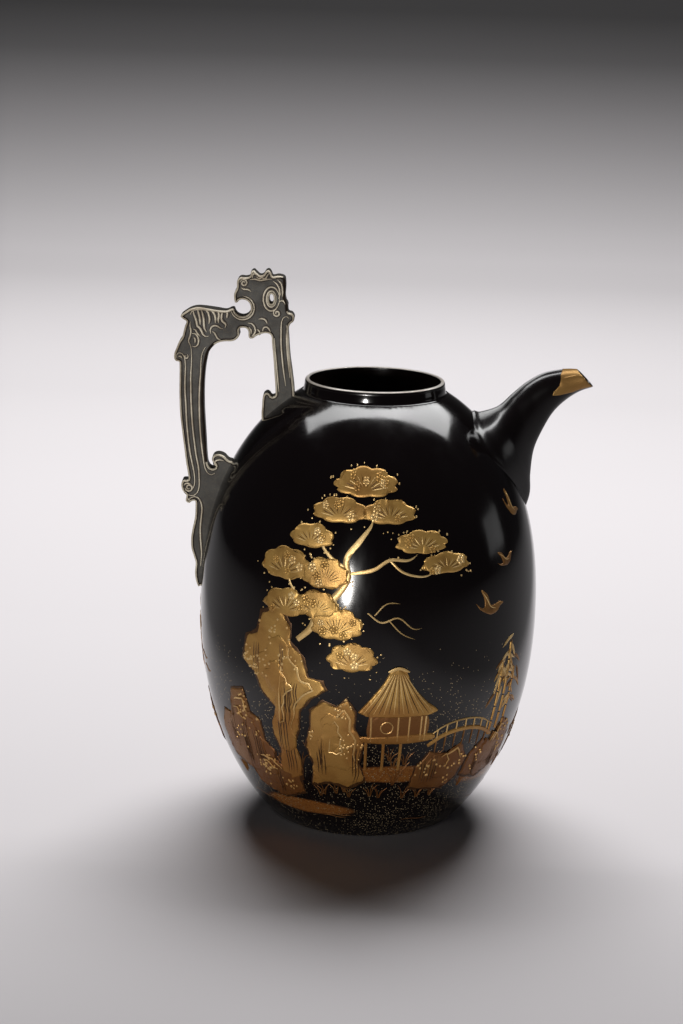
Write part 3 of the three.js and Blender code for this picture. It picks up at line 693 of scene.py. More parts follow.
# %% The handle's outline, in x and z
HANDLE_OUTLINE = [
    (-75.9, 101.1), (-76.9, 103.9), (-77.4, 107.6), (-77.2, 112.3), (-77.9, 114.7), (-79.1, 118.8),
    (-79.3, 123.5), (-78.8, 127.3), (-77.7, 133.4), (-77.6, 138), (-77.8, 140.3), (-79, 140.3),
    (-80.5, 139.3), (-81.9, 140.2), (-81.7, 143), (-83.3, 144.8), (-84, 147.5), (-83.3, 149.6),
    (-80.9, 150), (-81.1, 152.7), (-81.9, 157.1), (-83, 165.1), (-84.1, 173.1), (-85, 181), (-85.3, 189),
    (-85.4, 200.9), (-85.6, 202.6), (-87, 202.8), (-87.8, 204.2), (-87.7, 206.3), (-86.8, 208.7),
    (-85.7, 211.5), (-84.4, 213.5), (-83.9, 215.5), (-83.2, 218.5), (-82.6, 220.4), (-84.4, 221.6),
    (-85.2, 222.7), (-83.2, 224.6), (-80.7, 226.1), (-77.8, 226.8), (-74.2, 226.6), (-70.9, 226.1),
    (-68, 225.8), (-65.1, 225.7), (-63.2, 226.6), (-62.1, 226.6), (-61.5, 225.2), (-60.3, 224),
    (-58.4, 223.45), (-56.6, 223.9), (-55.2, 225.3), (-54.75, 227.1), (-55.2, 228.9), (-56.6, 230.3),
    (-58.4, 230.75), (-59.7, 230.5), (-60.6, 229.5), (-61.5, 229.2), (-62.1, 231.1), (-62, 233.6),
    (-61, 235.8), (-60.9, 238.8), (-59.6, 240.4), (-57.1, 240.4), (-55.4, 241), (-55, 242.8),
    (-53.8, 243.6), (-52.6, 242.6), (-51, 241.4), (-49.5, 241.9), (-48.6, 243.4), (-47.3, 243.85),
    (-46.2, 242.6), (-45.6, 241.2), (-43, 241.6), (-40.4, 240.8), (-39.9, 238.6), (-39.8, 236.5),
    (-39.9, 232.2), (-38.9, 228.9), (-38.3, 225.7), (-36.9, 225.3), (-35.8, 223.6), (-36.1, 221.9),
    (-37.5, 220.6), (-38.2, 218.6), (-38, 214.2), (-37.3, 206.3), (-36.1, 198.5), (-35.2, 191.4),
    (-35.3, 187.2), (-39.5, 184), (-43.5, 181), (-47, 178), (-48.7, 177.2), (-49.2, 180.2), (-49, 184.2),
    (-48.9, 187.2), (-48.4, 189.2), (-47, 190.1), (-45.9, 189.6), (-44.9, 188.3), (-43.4, 188.9),
    (-43.3, 190.6), (-43.9, 198.3), (-44.6, 206.1), (-45.3, 212), (-45.6, 215), (-46.5, 216),
    (-47.9, 216.3), (-50, 215.9), (-52.2, 214.9), (-53.7, 213.8), (-55.2, 213.9), (-55.6, 215.2),
    (-55.6, 216.6), (-56.4, 218), (-58, 218.4), (-59.4, 218), (-59.6, 216.6), (-59.4, 215.2),
    (-60.9, 213.1), (-62.8, 212.3), (-66.3, 212.1), (-69.4, 211.1), (-71.7, 208.8), (-72.8, 206.8),
    (-73.7, 202.8), (-74.3, 198), (-74.6, 191.3), (-74.5, 183.4), (-74, 175.4), (-73.4, 167.4),
    (-73, 161.3), (-72.4, 157.3), (-71.4, 155.7), (-69.9, 155.3), (-68.9, 156), (-69.2, 157.3),
    (-70.4, 158.5), (-70.6, 160), (-69.6, 161.4), (-67.6, 161.9), (-65.3, 161.1), (-63.4, 159.3),
    (-59.8, 158)]
# The foot's last side lies a little inside the body.
FOOT_DEPTH = 2.2
HANDLE_OUTLINE += [(-body_radius(z) + FOOT_DEPTH, z) for z in (154, 148, 141, 134, 127, 120, 113, 107, 103)]
EYE, EYE_HALF, EYE_SIDES = (-45.93, 231.39), (1.0, 2.1), 28
print("outline points:", len(HANDLE_OUTLINE), "span, mm:", span_of(HANDLE_OUTLINE))

# %% The bead round the boards
OUTLINE_STEP = 0.62
# Where the pale edge is painted dark as shade, on sides turned from the light: boxes in x and z.
SHADED_EDGES = [(-77.5, -70.5, 158, 212), (-42.5, -38, 226, 241)]
# Steps in from the edge: width, rise and paint (0 field, 1 pale edge, 2 groove painted dark as shade).
BEAD_STEPS = [(0.2, 0.42, 1), (0.22, 0.26, 1), (0.2, 0.08, 1), (0.18, -0.12, 1), (0.16, -0.26, 2),
              (0.16, -0.26, 2), (0.26, 0, 2)]
EDGE_LEVEL = 3.42
FIELD_LEVEL = EDGE_LEVEL + sum(rise for _, rise, _ in BEAD_STEPS)


def in_painted_shade(face):
    spot = face.calc_center_median()
    return any(x0 < spot.x < x1 and z0 < spot.z < z1 for x0, x1, z0, z1 in SHADED_EDGES)


def closed_line(bm, points):
    verts = [bm.verts.new((p[0], 0, p[1])) for p in points]
    return [bm.edges.new(pair) for pair in zip(verts, verts[1:] + verts[:1])]


print(f"half thickness {EDGE_LEVEL} mm at the edge, {FIELD_LEVEL:.2f} mm in the field")

# %% Fill, thicken, mould and mirror the boards
bm = bmesh.new()
edges = closed_line(bm, smooth_line(HANDLE_OUTLINE, OUTLINE_STEP, closed=True))
eye_turns = [math.tau * i / EYE_SIDES for i in range(EYE_SIDES)]
edges += closed_line(bm, [around(*EYE, *EYE_HALF, angle) for angle in eye_turns])
cap = only(BMFace, bmesh.ops.triangle_fill(bm, edges=edges, use_beauty=True)["geom"])
cap = only(BMFace, bmesh.ops.extrude_face_region(bm, geom=cap)["geom"])
bmesh.ops.translate(bm, vec=(0, -EDGE_LEVEL, 0), verts=corners_of(cap))
# The middle plane opens, so that the mirror half can be joined there.
flat = [f for f in bm.faces if all(abs(v.co.y) < 1e-6 for v in f.verts)]
bmesh.ops.delete(bm, geom=flat, context="FACES_ONLY")
bmesh.ops.recalc_face_normals(bm, faces=bm.faces)
if cap[0].normal.y > 0:
    bmesh.ops.reverse_faces(bm, faces=bm.faces)
for width, rise, paint in BEAD_STEPS:
    made = bmesh.ops.inset_region(bm, faces=cap, thickness=width, depth=rise, use_boundary=True,
                                  use_even_offset=False)
    for face in made["faces"]:
        # Pale bead faces in those boxes take the dark groove paint, as painted shade.
        face.material_index = 2 if paint == 1 and in_painted_shade(face) else paint
bmesh.ops.mirror(bm, geom=bm.verts[:] + bm.edges[:] + bm.faces[:], axis="Y", merge_dist=0.01)
bmesh.ops.recalc_face_normals(bm, faces=bm.faces)
finish_piece(bm, "handle_boards", [handle_field, handle_edge, handle_shade_groove],
             ["handle_outer_post", "handle_top_board", "handle_inner_post", "outer_tenon_pin",
              "inner_tenon_pin", "upper_foot_dowel", "lower_foot_dowel", "inner_foot_dowel"])

# %% [markdown]
# ## The scrollwork on the boards
#
# The ornament on the boards is a run of raised gold lines: ribs like combed waves
# along the rail, scrolls under them, rings round the open C and the eye, and long
# lines down both posts. A texture could paint them, but it would slide on the edges
# and catch no light. Each is a tapered ridge on the field, front and back.

# %% Scrollwork lines, in x and z
SCROLLWORK = {
    "rail_second": [(-81.1, 223.4), (-79.9, 225.3), (-76.5, 225.9), (-71.6, 225.5), (-67.2, 225),
        (-64, 225)],
    "rib1": [(-80, 225.9), (-79.4, 223.8), (-78.7, 222), (-78.2, 220.3), (-77.8, 218.5), (-76.9, 217.9),
        (-76, 216.4), (-75.1, 214.7), (-74, 214.1), (-72.9, 214.3)],
    "rib2": [(-77.9, 226), (-77.4, 224.3), (-76.9, 222.5), (-76.7, 220.8), (-76.6, 219.2)],
    "rib3": [(-76.4, 226), (-75.8, 224.5), (-75.4, 223), (-75.1, 221.3), (-75, 219.5), (-74.7, 217.5),
        (-73.8, 216)],
    "rib4": [(-74.5, 225.7), (-73.4, 224.8), (-72.8, 223.1), (-72.6, 221.3), (-72.9, 219.6)],
    "rib5": [(-72.4, 225.8), (-71.1, 224.9), (-70.3, 223.4), (-70, 221.6), (-70.1, 220.1)],
    "rib6": [(-69.6, 225.8), (-68.7, 224.7), (-68.6, 223), (-68.8, 221.5), (-68.6, 220.1)],
    "rib7": [(-66.9, 225.7), (-67.3, 223.9), (-67.4, 222.2), (-66.9, 220.8), (-65.9, 220.2),
        (-65.5, 219.3), (-65.8, 218.2)],
    "rib8": [(-65.1, 225.6), (-64.9, 224), (-65.2, 222.4)],
    "scroll_over": [(-72, 215.4), (-72.2, 217.1), (-71.5, 218.5), (-70.2, 219), (-68.9, 218.7),
        (-67.8, 217.9), (-66.7, 217.8)],
    "scroll_under": [(-71.4, 216.4), (-70.4, 215.8), (-69.7, 214.6), (-68.8, 213.3), (-67.5, 212.7)],
    "wave": [(-79.7, 217.2), (-78.6, 216.8), (-77.9, 215.5), (-76.6, 214)],
    "oval": [(-80.2, 215.2), (-79, 215.2), (-77.8, 214.2), (-77.2, 212.4), (-77.5, 210.5), (-78.7, 209.4),
        (-79.9, 209.7)],
    "oval_in": [(-79.4, 213.7), (-78.7, 212.6), (-78.8, 211)],
    "low_left": [(-80.9, 220.4), (-81, 218.4), (-80.6, 216.5), (-80.9, 214.1), (-81.6, 212),
        (-80.9, 210.1)],
    "volute": [(-86.5, 204.1), (-86.8, 205.4), (-85.9, 206.4), (-84.7, 206.4), (-83.6, 205.2),
        (-83, 203.2), (-82.8, 199.9), (-82.9, 194.5), (-82.8, 189.2), (-82.4, 183.9), (-82, 176.7),
        (-81.3, 169.6), (-80.4, 162.9), (-79.4, 158), (-78.5, 153.9), (-78.1, 150.3), (-78.3, 147.4),
        (-79.4, 145.4), (-81.2, 145), (-82.4, 146.1)],
    "volute_in": [(-85.9, 204.8), (-85, 205.1), (-84.3, 204.1)],
    "post_gold": [(-81.2, 211.4), (-80.6, 209.4), (-80.2, 206.1), (-80.2, 201.7), (-80.4, 196.4),
        (-80.3, 190.2), (-80, 183.1), (-79.4, 175), (-78.5, 167.4), (-77.5, 160.7), (-76.5, 155.8),
        (-76.1, 150.8), (-76.1, 147.2), (-76.7, 144.6), (-78.2, 143), (-80.2, 142.9), (-82.2, 144),
        (-83.1, 145.8)],
    "post_right": [(-74.2, 209.4), (-75.4, 207), (-76, 203.6), (-76.1, 198.3), (-76.5, 191.2),
        (-76.5, 184.1), (-76.2, 176), (-75.5, 168), (-74.7, 161.7), (-74.1, 157.7), (-73.4, 155),
        (-72.3, 153.2), (-70.7, 152.5), (-69.2, 153.3)],
    "foot_upper": [(-79.5, 147.7), (-80.8, 148.3), (-82, 148.2), (-82.9, 147.3)],
    "foot_gold": [(-80.7, 140.4), (-80, 141.5), (-78, 142.3), (-76.3, 141.7), (-75.2, 139.8),
        (-74.7, 137.2), (-74.9, 133.6), (-75.3, 128.1), (-75.1, 122.6), (-74.6, 117.1), (-74.8, 113),
        (-74.9, 110.7)],
    "foot_low": [(-80.9, 141.6), (-80.4, 140.7), (-79.5, 140.6)],
    "curl_ridge": [(-65.5, 158.9), (-67.3, 159.4), (-69, 158.7), (-69.3, 157.3), (-68.3, 156.3)],
    "inner_gold": [(-38.1, 223), (-39.2, 223.9), (-40.6, 223.2), (-41.3, 221.2), (-41.4, 217),
        (-41.3, 211.8), (-40.7, 205.6), (-39.9, 199.5), (-38.9, 193.3)],
    "inner_second": [(-39.1, 220.2), (-39, 215.4), (-38.7, 210.1), (-38, 203.9), (-37.1, 196.9)],
    "inner_left": [(-44.3, 214.3), (-43.9, 209), (-43.2, 202.9), (-42.4, 195.8), (-41.8, 190.5)],
    "leaf_out": [(-55.9, 220.5), (-54.4, 220.4), (-53.1, 219.1), (-52.6, 217.1), (-53.6, 215.1),
        (-55, 214)],
    "leaf_in": [(-55.6, 218.8), (-54.5, 217.5), (-54.6, 215.6)],
    "leaf_two": [(-51.9, 218), (-50.8, 217), (-51, 215.4)],
    "leaf_three": [(-49.5, 217), (-49.1, 218.6), (-47.8, 219.1), (-46.7, 218.2), (-46, 216.7)],
    "scroll_mid": [(-51.3, 222.4), (-49.8, 222.7), (-48.3, 222.1), (-47.5, 220.5)],
    "chin": [(-59.2, 235.9), (-57.9, 235.3), (-56.1, 235.2), (-54.8, 234.3)],
    "brow": [(-45.4, 239.2), (-43.9, 238.1), (-42.7, 236.2), (-42.3, 233.6), (-42.8, 231.5)],
    "brow_two": [(-43.6, 239.9), (-41.9, 238.3), (-41.2, 235.4), (-41.3, 232.4)],
    "neck_line": [(-42.6, 230.3), (-41.1, 230.8), (-39.8, 229.5), (-39.1, 227.2)],
    "crest_left": [(-54.4, 240.2), (-54.2, 241.6), (-53.6, 242.3), (-52.9, 241.6)],
    "crest_m": [(-52.6, 240.9), (-51.4, 240.0), (-50.2, 240.7), (-48.9, 240.0), (-47.8, 241.6),
        (-47.3, 242.4)],
    "crest_foot": [(-55.4, 239.5), (-53.2, 239.8), (-51, 239.3), (-48.4, 239.8), (-45.9, 240.1)]}
print("scrollwork lines:", len(SCROLLWORK))

# %% Spirals and ovals
def spiral(x, z, start, end, first, turns, steps=22):
    """A scroll that winds in from radius start to end, from an angle in degrees."""
    points = []
    for i in range(steps + 1):
        share = i / steps
        angle = math.radians(first + 360 * turns * share)
        radius = start + (end - start) * share
        points.append(around(x, z, radius, radius, angle))
    return points


def oval(x, z, half_x, half_z, steps=36, start=0.0, turn=360.0):
    angles = [math.radians(start + turn * i / steps) for i in range(steps + 1)]
    return [around(x, z, half_x, half_z, angle) for angle in angles]


print("points of a spiral and an oval:", len(spiral(0, 0, 2, 1, 0, 1)), len(oval(0, 0, 2, 1)))

# %% Lay the lines on both faces of the boards
RING = (-58.4, 227.1)
RIB_FATNESS = 1.3
# The line is the pale ridge, and the bed is the dark strip that it lies on: painted shade along both its
# sides.
LINE_WIDTH, LINE_RISE, SHADE_BED_WIDTH, SHADE_BED_RISE = 0.8, 0.5, 1.9, 0.14
rounds = [oval(*RING, 5.1, 5.1, 44, 196, 250), oval(*EYE, 2.1, 3.5), oval(*EYE, 3.5, 5.2),
          spiral(-58.0, 238.0, 1.7, 0.4, 170, -1.5), spiral(-43.4, 225.2, 1.7, 0.4, 100, 1.4),
          spiral(-80.6, 146.4, 1.9, 0.5, 200, 1.3), spiral(-82.6, 205.0, 1.0, 0.3, 60, -1.0)]
lines = [(RIB_FATNESS if name.startswith("rib") else 1.0, smooth_line(points, 0.6))
         for name, points in SCROLLWORK.items()] + [(1.0, line) for line in rounds]
bm = bmesh.new()
for fatness, points in lines:
    # The dark bed under each line is painted shade.
    sweep(bm, points, SHADE_BED_WIDTH * fatness, SHADE_BED_RISE, -FIELD_LEVEL, (0.4, 0.4), paint=1)
    sweep(bm, points, LINE_WIDTH * fatness, LINE_RISE, -FIELD_LEVEL, (0.35, 0.35))
bmesh.ops.mirror(bm, geom=bm.verts[:] + bm.edges[:] + bm.faces[:], axis="Y", merge_dist=0)
bmesh.ops.recalc_face_normals(bm, faces=bm.faces)
finish_piece(bm, "handle_scrollwork", [handle_edge, handle_shade_groove], sharp=80)

# %% [markdown]
# ## Gold in low relief
#
# Gold pictures on lacquer are built up flat, plate on plate, and only the body
# makes them round. A bump in the material would be quicker, but it has no edge that
# catches the light. So the picture is drawn here on a flat sheet: x is the distance
# round the girth from the front, z is the height, and -y is how far a plate stands
# out. When its plates, ridges and dots are made, the sheet is wrapped on the body.

# %% Wrap a sheet on the body, and on the spout
SLOPE_SPAN = 0.4


def on_body(flat):
    """A sheet point on the body: x round it, z up it, -y out of it."""
    turn, z, lift = flat.x / BELLY, flat.z, -flat.y
    slope = body_radius(z + SLOPE_SPAN) - body_radius(z - SLOPE_SPAN)
    out = Vector((2 * SLOPE_SPAN, -slope)).normalized()
    # The lift is eased where there is little room left in the CAD's box.
    room = CAD_BELLY - body_radius(z) * abs(math.cos(turn))
    if lift > 0:
        lift = room * (1 - math.exp(-lift / room))
    radius = body_radius(z) + out.x * lift
    return Vector((radius * math.sin(turn), -radius * math.cos(turn), z + out.y * lift))


def on_spout(flat):
    """x is the angle from the spout's top line in degrees, z is 100 at the lip."""
    point, _ = spout_point(flat.z / 100, math.radians(flat.x), flat.y)
    return point


print("the sheet's foot lands at, mm:", tuple(round(c, 1) for c in on_body(Vector((0, 0, 20)))))

# %% A plate
PLATE_EDGE = [(0.22, 0.5), (0.24, 0.3), (0.3, 0.15)]  # steps in from the edge: width and share of the lift


def plate(big, outline, lift, paint=0, edge=PLATE_EDGE, cell=3.5, foot=0.35):
    """A rounded plate on the sheet: filled, cut into small cells, raised and eased at its edge."""
    bm = bmesh.new()
    faces = only(BMFace, bmesh.ops.triangle_fill(bm, edges=closed_line(bm, outline), use_beauty=True)["geom"])
    geometry = list({g for f in faces for g in (f, *f.edges, *f.verts)})
    # Only a plate with points inside it can bend round the body.
    for normal, (low, high) in zip(((1, 0, 0), (0, 0, 1)), span_of(outline)):
        for i in range(math.floor(low / cell) + 1, math.ceil(high / cell)):
            place = Vector(normal) * i * cell
            cut = bmesh.ops.bisect_plane(bm, geom=geometry, plane_co=place, plane_no=normal)
            geometry = cut["geom"]
    faces = only(BMFace, geometry)
    bottom = corners_of(faces)
    cap = only(BMFace, bmesh.ops.extrude_face_region(bm, geom=faces)["geom"])
    first_rise = 1 - sum(rise for _, rise in edge)
    bmesh.ops.translate(bm, vec=(0, -lift * first_rise, 0), verts=corners_of(cap))
    bmesh.ops.translate(bm, vec=(0, foot, 0), verts=bottom)
    bmesh.ops.recalc_face_normals(bm, faces=bm.faces)
    for width, rise in edge:
        bmesh.ops.inset_region(bm, faces=cap, thickness=width, depth=rise * lift, use_boundary=True,
                               use_even_offset=False)
    pour(bm, big, paint)


print(f"a plate's edge is {sum(width for width, _ in PLATE_EDGE):.2f} mm wide")

# %% Dots and blossoms
PETALS = 5


def dome(bm, x, z, radius, level, rise=0.6):
    place = Matrix.Translation((x, -level, z)) @ Matrix.Diagonal((1, rise, 1, 1))
    bmesh.ops.create_uvsphere(bm, u_segments=8, v_segments=6, radius=radius, matrix=place)


def dot(big, x, z, radius, level, paint=0):
    """A small dome standing on a plate or on the ground."""
    bm = bmesh.new()
    dome(bm, x, z, radius, level)
    pour(bm, big, paint)


def flower(big, x, z, size, level, turn, paint=0):
    """A plum blossom: round petals and a middle."""
    bm = bmesh.new()
    for i in range(PETALS):
        petal = around(x, z, size, size, math.radians(turn + 360 / PETALS * i))
        dome(bm, *petal, size * 0.68, level, 0.45)
    dome(bm, x, z, size * 0.34, level + size * 0.3, 0.8)
    pour(bm, big, paint)


print("petals of a blossom:", PETALS)

# %% Rough and billowing outlines
draw = random.Random(41)  # one seeded draw for all the gold, so that each run gives the same picture
LOBE_POINTS, LOBE_DEPTH, FLAT_UNDER = 7, 0.16, 0.62


def broken(points, spacing, roughness):
    """A closed outline of straight runs, made rough as hewn rock is."""
    line = []
    for a, b in zip(points, [*points[1:], points[0]]):
        a, b = Vector(a), Vector(b)
        steps = max(1, round((b - a).length / spacing))
        line += [a.lerp(b, i / steps) for i in range(steps)]
    return [p + Vector([draw.uniform(-roughness, roughness) for _ in range(2)]) for p in line]


def billow(x, z, half_x, half_z, lobes, turn):
    """A cloud-like outline with round lobes, flatter underneath."""
    points = []
    for i in range(lobes * LOBE_POINTS):
        angle = math.tau * i / (lobes * LOBE_POINTS)
        swell = 1 + LOBE_DEPTH * abs(math.sin(lobes * (angle + turn) / 2))
        lower = FLAT_UNDER if math.sin(angle) < 0 else 1.0
        points.append(around(x, z, half_x * swell, half_z * swell * lower, angle))
    return points


def inside(outline, x, z):
    """Whether a point lies inside a closed outline."""
    within = False
    for a, b in zip(outline, [*outline[1:], outline[0]]):
        if (a[1] > z) != (b[1] > z) and x < a[0] + (z - a[1]) * (b[0] - a[0]) / (b[1] - a[1]):
            within = not within
    return within


print("the middle of a cloud lies inside it:", inside(billow(0, 0, 9, 5, 8, 0), 0, 0))

# %% Wrap a sheet and finish it
BRIGHT, LOW, LINE, CUT = range(4)


def wrap_piece(bm, wrap, name, sharp=35, golds=(gold, gold_low, gold_line, gold_cut)):
    for v in bm.verts:
        v.co = wrap(v.co)
    bmesh.ops.recalc_face_normals(bm, faces=bm.faces)
    finish_piece(bm, name, golds, sharp=sharp)


print("golds by number:", dict(bright=BRIGHT, low=LOW, line=LINE, cut=CUT))

# %% [markdown]
# ## Rocks
#
# Rocks on such pieces are the thickest gold. Each is a hewn block with a lighter
# face, dark strokes that fall down it and tufts of moss. One bumpy plate would look
# like a leaf, so a rock is a stack: a dark plate, a little larger and lower, that parts it
# from what is behind as an outline and a painted shadow, then the rock, its face and its brow. Straight runs
# with small random steps look hewn.

# %% Outlines of the rocks, each with its lift and its gold
ROCKS = [
    (0.62, BRIGHT, [(-43, 33), (-41, 46), (-44, 55), (-41, 66), (-47, 71), (-52, 80), (-58, 84),
        (-56, 95), (-50, 98), (-48, 107), (-39, 110), (-33, 103), (-33, 96), (-27, 90), (-25, 82),
        (-19, 81), (-17, 77), (-24, 72), (-29, 66), (-30, 57), (-33, 50), (-30, 42), (-31, 34), (-37, 31)]),
    (0.85, BRIGHT, [(-26, 31), (-24, 42), (-27, 50), (-24, 60), (-24, 67), (-18, 72), (-12, 70), (-8, 74),
        (-4, 68), (-4, 60), (0, 54), (-2, 44), (1, 35), (-7, 31), (-16, 33)]),
    (0.5, LOW, [(-80, 34), (-84, 46), (-78, 56), (-72, 56), (-69, 68), (-60, 70), (-57, 60), (-51, 57),
        (-50, 48), (-45, 44), (-46, 33), (-62, 30)]),
    (0.45, LOW, [(-62, 24), (-66, 33), (-58, 42), (-48, 41), (-40, 35), (-33, 33), (-32, 25), (-46, 20)]),
    (0.5, LOW, [(24, 30), (26, 41), (32, 48), (41, 46), (49, 50), (54, 42), (51, 33), (44, 28), (34, 29)]),
    (0.45, LOW, [(54, 33), (56, 43), (63, 49), (70, 45), (77, 56), (85, 52), (88, 42), (84, 33), (68, 29)]),
    (0.55, LOW, [(150, 28), (147, 40), (154, 51), (163, 48), (171, 59), (180, 54), (184, 42), (196, 36),
        (194, 27), (170, 24)]),
    (0.5, LOW, [(-206, 26), (-212, 38), (-204, 50), (-195, 51), (-187, 63), (-176, 56), (-172, 44),
        (-160, 38), (-156, 28), (-180, 23)]),
    (0.45, LOW, [(-132, 30), (-138, 42), (-130, 52), (-121, 48), (-113, 56), (-104, 47), (-102, 36),
        (-112, 28)]),
    (0.45, LOW, [(108, 27), (104, 36), (111, 45), (121, 42), (128, 34), (122, 26)])]
print("rocks:", len(ROCKS))

# %% A rock's plates and the pale ridges of painted highlight on them
STEP_EDGE = [(0.3, 0.35), (0.4, 0.2)]
HIGH_ROCK = 0.6  # a rock of more lift than this has long ridges


def rock_plates(bm, lift, paint, rock):
    """The stack of plates. Gives back the outlines of its face and its brow."""
    (low_x, high_x), (low_z, high_z) = span_of(rock)
    middle = Vector(((low_x + high_x) / 2, (low_z + high_z) / 2))

    def shrunk(share, shift):
        return [middle + (Vector(p) - middle) * share + Vector(shift) for p in rock]

    # The dark plate below the rock is an outline and a painted shadow under it.
    plate(bm, broken(shrunk(1.05, (0, -0.4)), 1.9, 0.3), lift * 0.45, CUT, edge=[(0.2, 0.3)])
    plate(bm, broken(rock, 1.7, 0.34), lift, paint)
    face, brow = shrunk(0.68, (0.8, 1.6)), shrunk(0.36, (-1.6, 3.2))
    for outline, rise in ((face, 0.22), (brow, 0.42)):
        plate(bm, broken(outline, 1.6, 0.3), lift + rise, paint, edge=STEP_EDGE)
    return face, brow


def rock_highlight_ridges(bm, lift, face, brow, level_at):
    """Pale ridges down the lit side of the face and of the brow: a painted highlight."""
    for line, wide in ((face, 1.3), (brow, 0.9)):
        half, third = len(line) // 2, len(line) // 3
        ridge = line[half - 1:] if lift > HIGH_ROCK else line[third:third + 4]
        rough = broken(ridge, 2.2, 0.3)[:round(len(ridge) * 1.8)]
        sweep(bm, rough, (wide, wide / 2), 0.3, -level_at(*line[0]) - 0.1, (0.3, 0.2), paint=LINE)


print("a rock's small plates rise in", len(STEP_EDGE) + 1, "steps")

# %% A rock's folds and moss
# Shares of a fold's bend and of its fall.
FOLD = [(0, 0), (0.4, 0.35), (0.2, 0.7), (1, 1)]
FOLD_AREA, MOSS_AREA, MOSS_DOTS = 130, 240, 11  # mm2 of rock to each bundle and each tuft


def rock_folds(bm, rock, level_at):
    """Bundles of dark strokes that fall and bend together."""
    (low_x, high_x), (low_z, high_z) = span_of(rock)
    for _ in range(round((high_x - low_x) * (high_z - low_z) / FOLD_AREA)):
        x, z, bend = draw.uniform(low_x, high_x), draw.uniform(low_z + 12, high_z), draw.uniform(-3, 3)
        fall = draw.uniform(11, 24)
        for _ in range(draw.choice((2, 3, 4))):
            x += draw.uniform(1.0, 1.9)
            stroke = [(x + bend * sway, z - fall * down) for sway, down in FOLD]
            while len(stroke) > 1 and not inside(rock, *stroke[-1]):
                stroke.pop()
            if len(stroke) > 2 and inside(rock, *stroke[0]):
                sweep(bm, smooth_line(stroke, 1.2), (0.62, 0.4), 0.13, -level_at(*stroke[1]), (0.2, 0.1),
                      sides=4, paint=CUT)


def rock_moss(bm, rock, level_at):
    """Tufts of raised dots on the upper half."""
    (low_x, high_x), (low_z, high_z) = span_of(rock)
    for _ in range(round((high_x - low_x) * (high_z - low_z) / MOSS_AREA) + 1):
        tuft_x, tuft_z = draw.uniform(low_x, high_x), draw.uniform((low_z + high_z) / 2 - 4, high_z)
        for _ in range(MOSS_DOTS):
            x, z = tuft_x + draw.gauss(0, 2.6), tuft_z + draw.gauss(0, 3.4)
            if inside(rock, x, z):
                dot(bm, x, z, draw.uniform(0.42, 0.7), level_at(x, z), LINE)


print("dots in a tuft of moss:", MOSS_DOTS)

# %% All the rocks
bm = bmesh.new()
for lift, paint, rock in ROCKS:
    face, brow = rock_plates(bm, lift, paint, rock)

    def level_at(x, z):
        """How high the stack of plates is there."""
        return lift + (0.38 if inside(brow, x, z) else 0.2 if inside(face, x, z) else 0.0)

    rock_highlight_ridges(bm, lift, face, brow, level_at)
    rock_folds(bm, rock, level_at)
    rock_moss(bm, rock, level_at)
wrap_piece(bm, on_body, "relief_rocks")

# %% [markdown]
# ## The plum tree
#
# A tree of this kind is a bent trunk under round clouds of blossom. Modelling each
# flower would take many thousands of faces. Here a cloud is one low plate with a lobed
# outline, fans of fine cut lines open on it, and a few blossoms and loose petals say
# what the rest is.

# %% Boughs and clouds
# A bough: its width at the start and the end, and its line.
BOUGHS = [
    (4.6, 2.6, [(-30, 98), (-24, 104), (-21, 112), (-14, 118), (-9, 126), (-10, 134), (-4, 142), (1, 149),
        (0, 157)]),
    (2.4, 1.2, [(-10, 130), (-17, 134), (-22, 140), (-21, 146)]),
    (2.4, 1.1, [(-8, 128), (2, 130), (9, 134), (18, 134), (24, 138)]),
    (1.8, 0.9, [(-21, 112), (-29, 116), (-35, 122), (-36, 128)]),
    (1.6, 0.8, [(9, 134), (15, 129), (24, 127), (31, 129)]),
    (1.5, 0.7, [(-14, 118), (-12, 110), (-6, 106)]),
    (1.2, 0.5, [(0, 112), (6, 108), (13, 110), (20, 105), (26, 106)]),
    (0.9, 0.4, [(9, 109), (15, 103), (22, 100)]),
    (0.9, 0.4, [(3, 111), (8, 116), (15, 116)])]
# A cloud: its middle, its half sizes and its lobes.
CLOUDS = [
    (-3, 163, 15, 6.4, 9), (-15, 152, 12, 5.6, 8), (9, 152, 11.5, 5.4, 8), (24, 140, 11, 5.2, 8),
    (35, 131, 10.5, 4.8, 7), (-27, 141, 9.5, 5.4, 7), (-38, 128, 11, 7.4, 8), (-19, 126, 9.5, 7.2, 8),
    (-36, 112, 10, 6.6, 7), (-13, 105, 10, 7.6, 8), (-6, 91, 9.5, 7.0, 8), (-22, 113, 8.6, 6.4, 7)]
print("boughs and clouds:", len(BOUGHS), len(CLOUDS))

# %% A cloud of blossom
FAN_LINES = 13
CLOUD_EDGE = [(0.25, 0.45), (0.35, 0.3), (0.45, 0.15)]
PALE_BLOSSOMS = 0.35


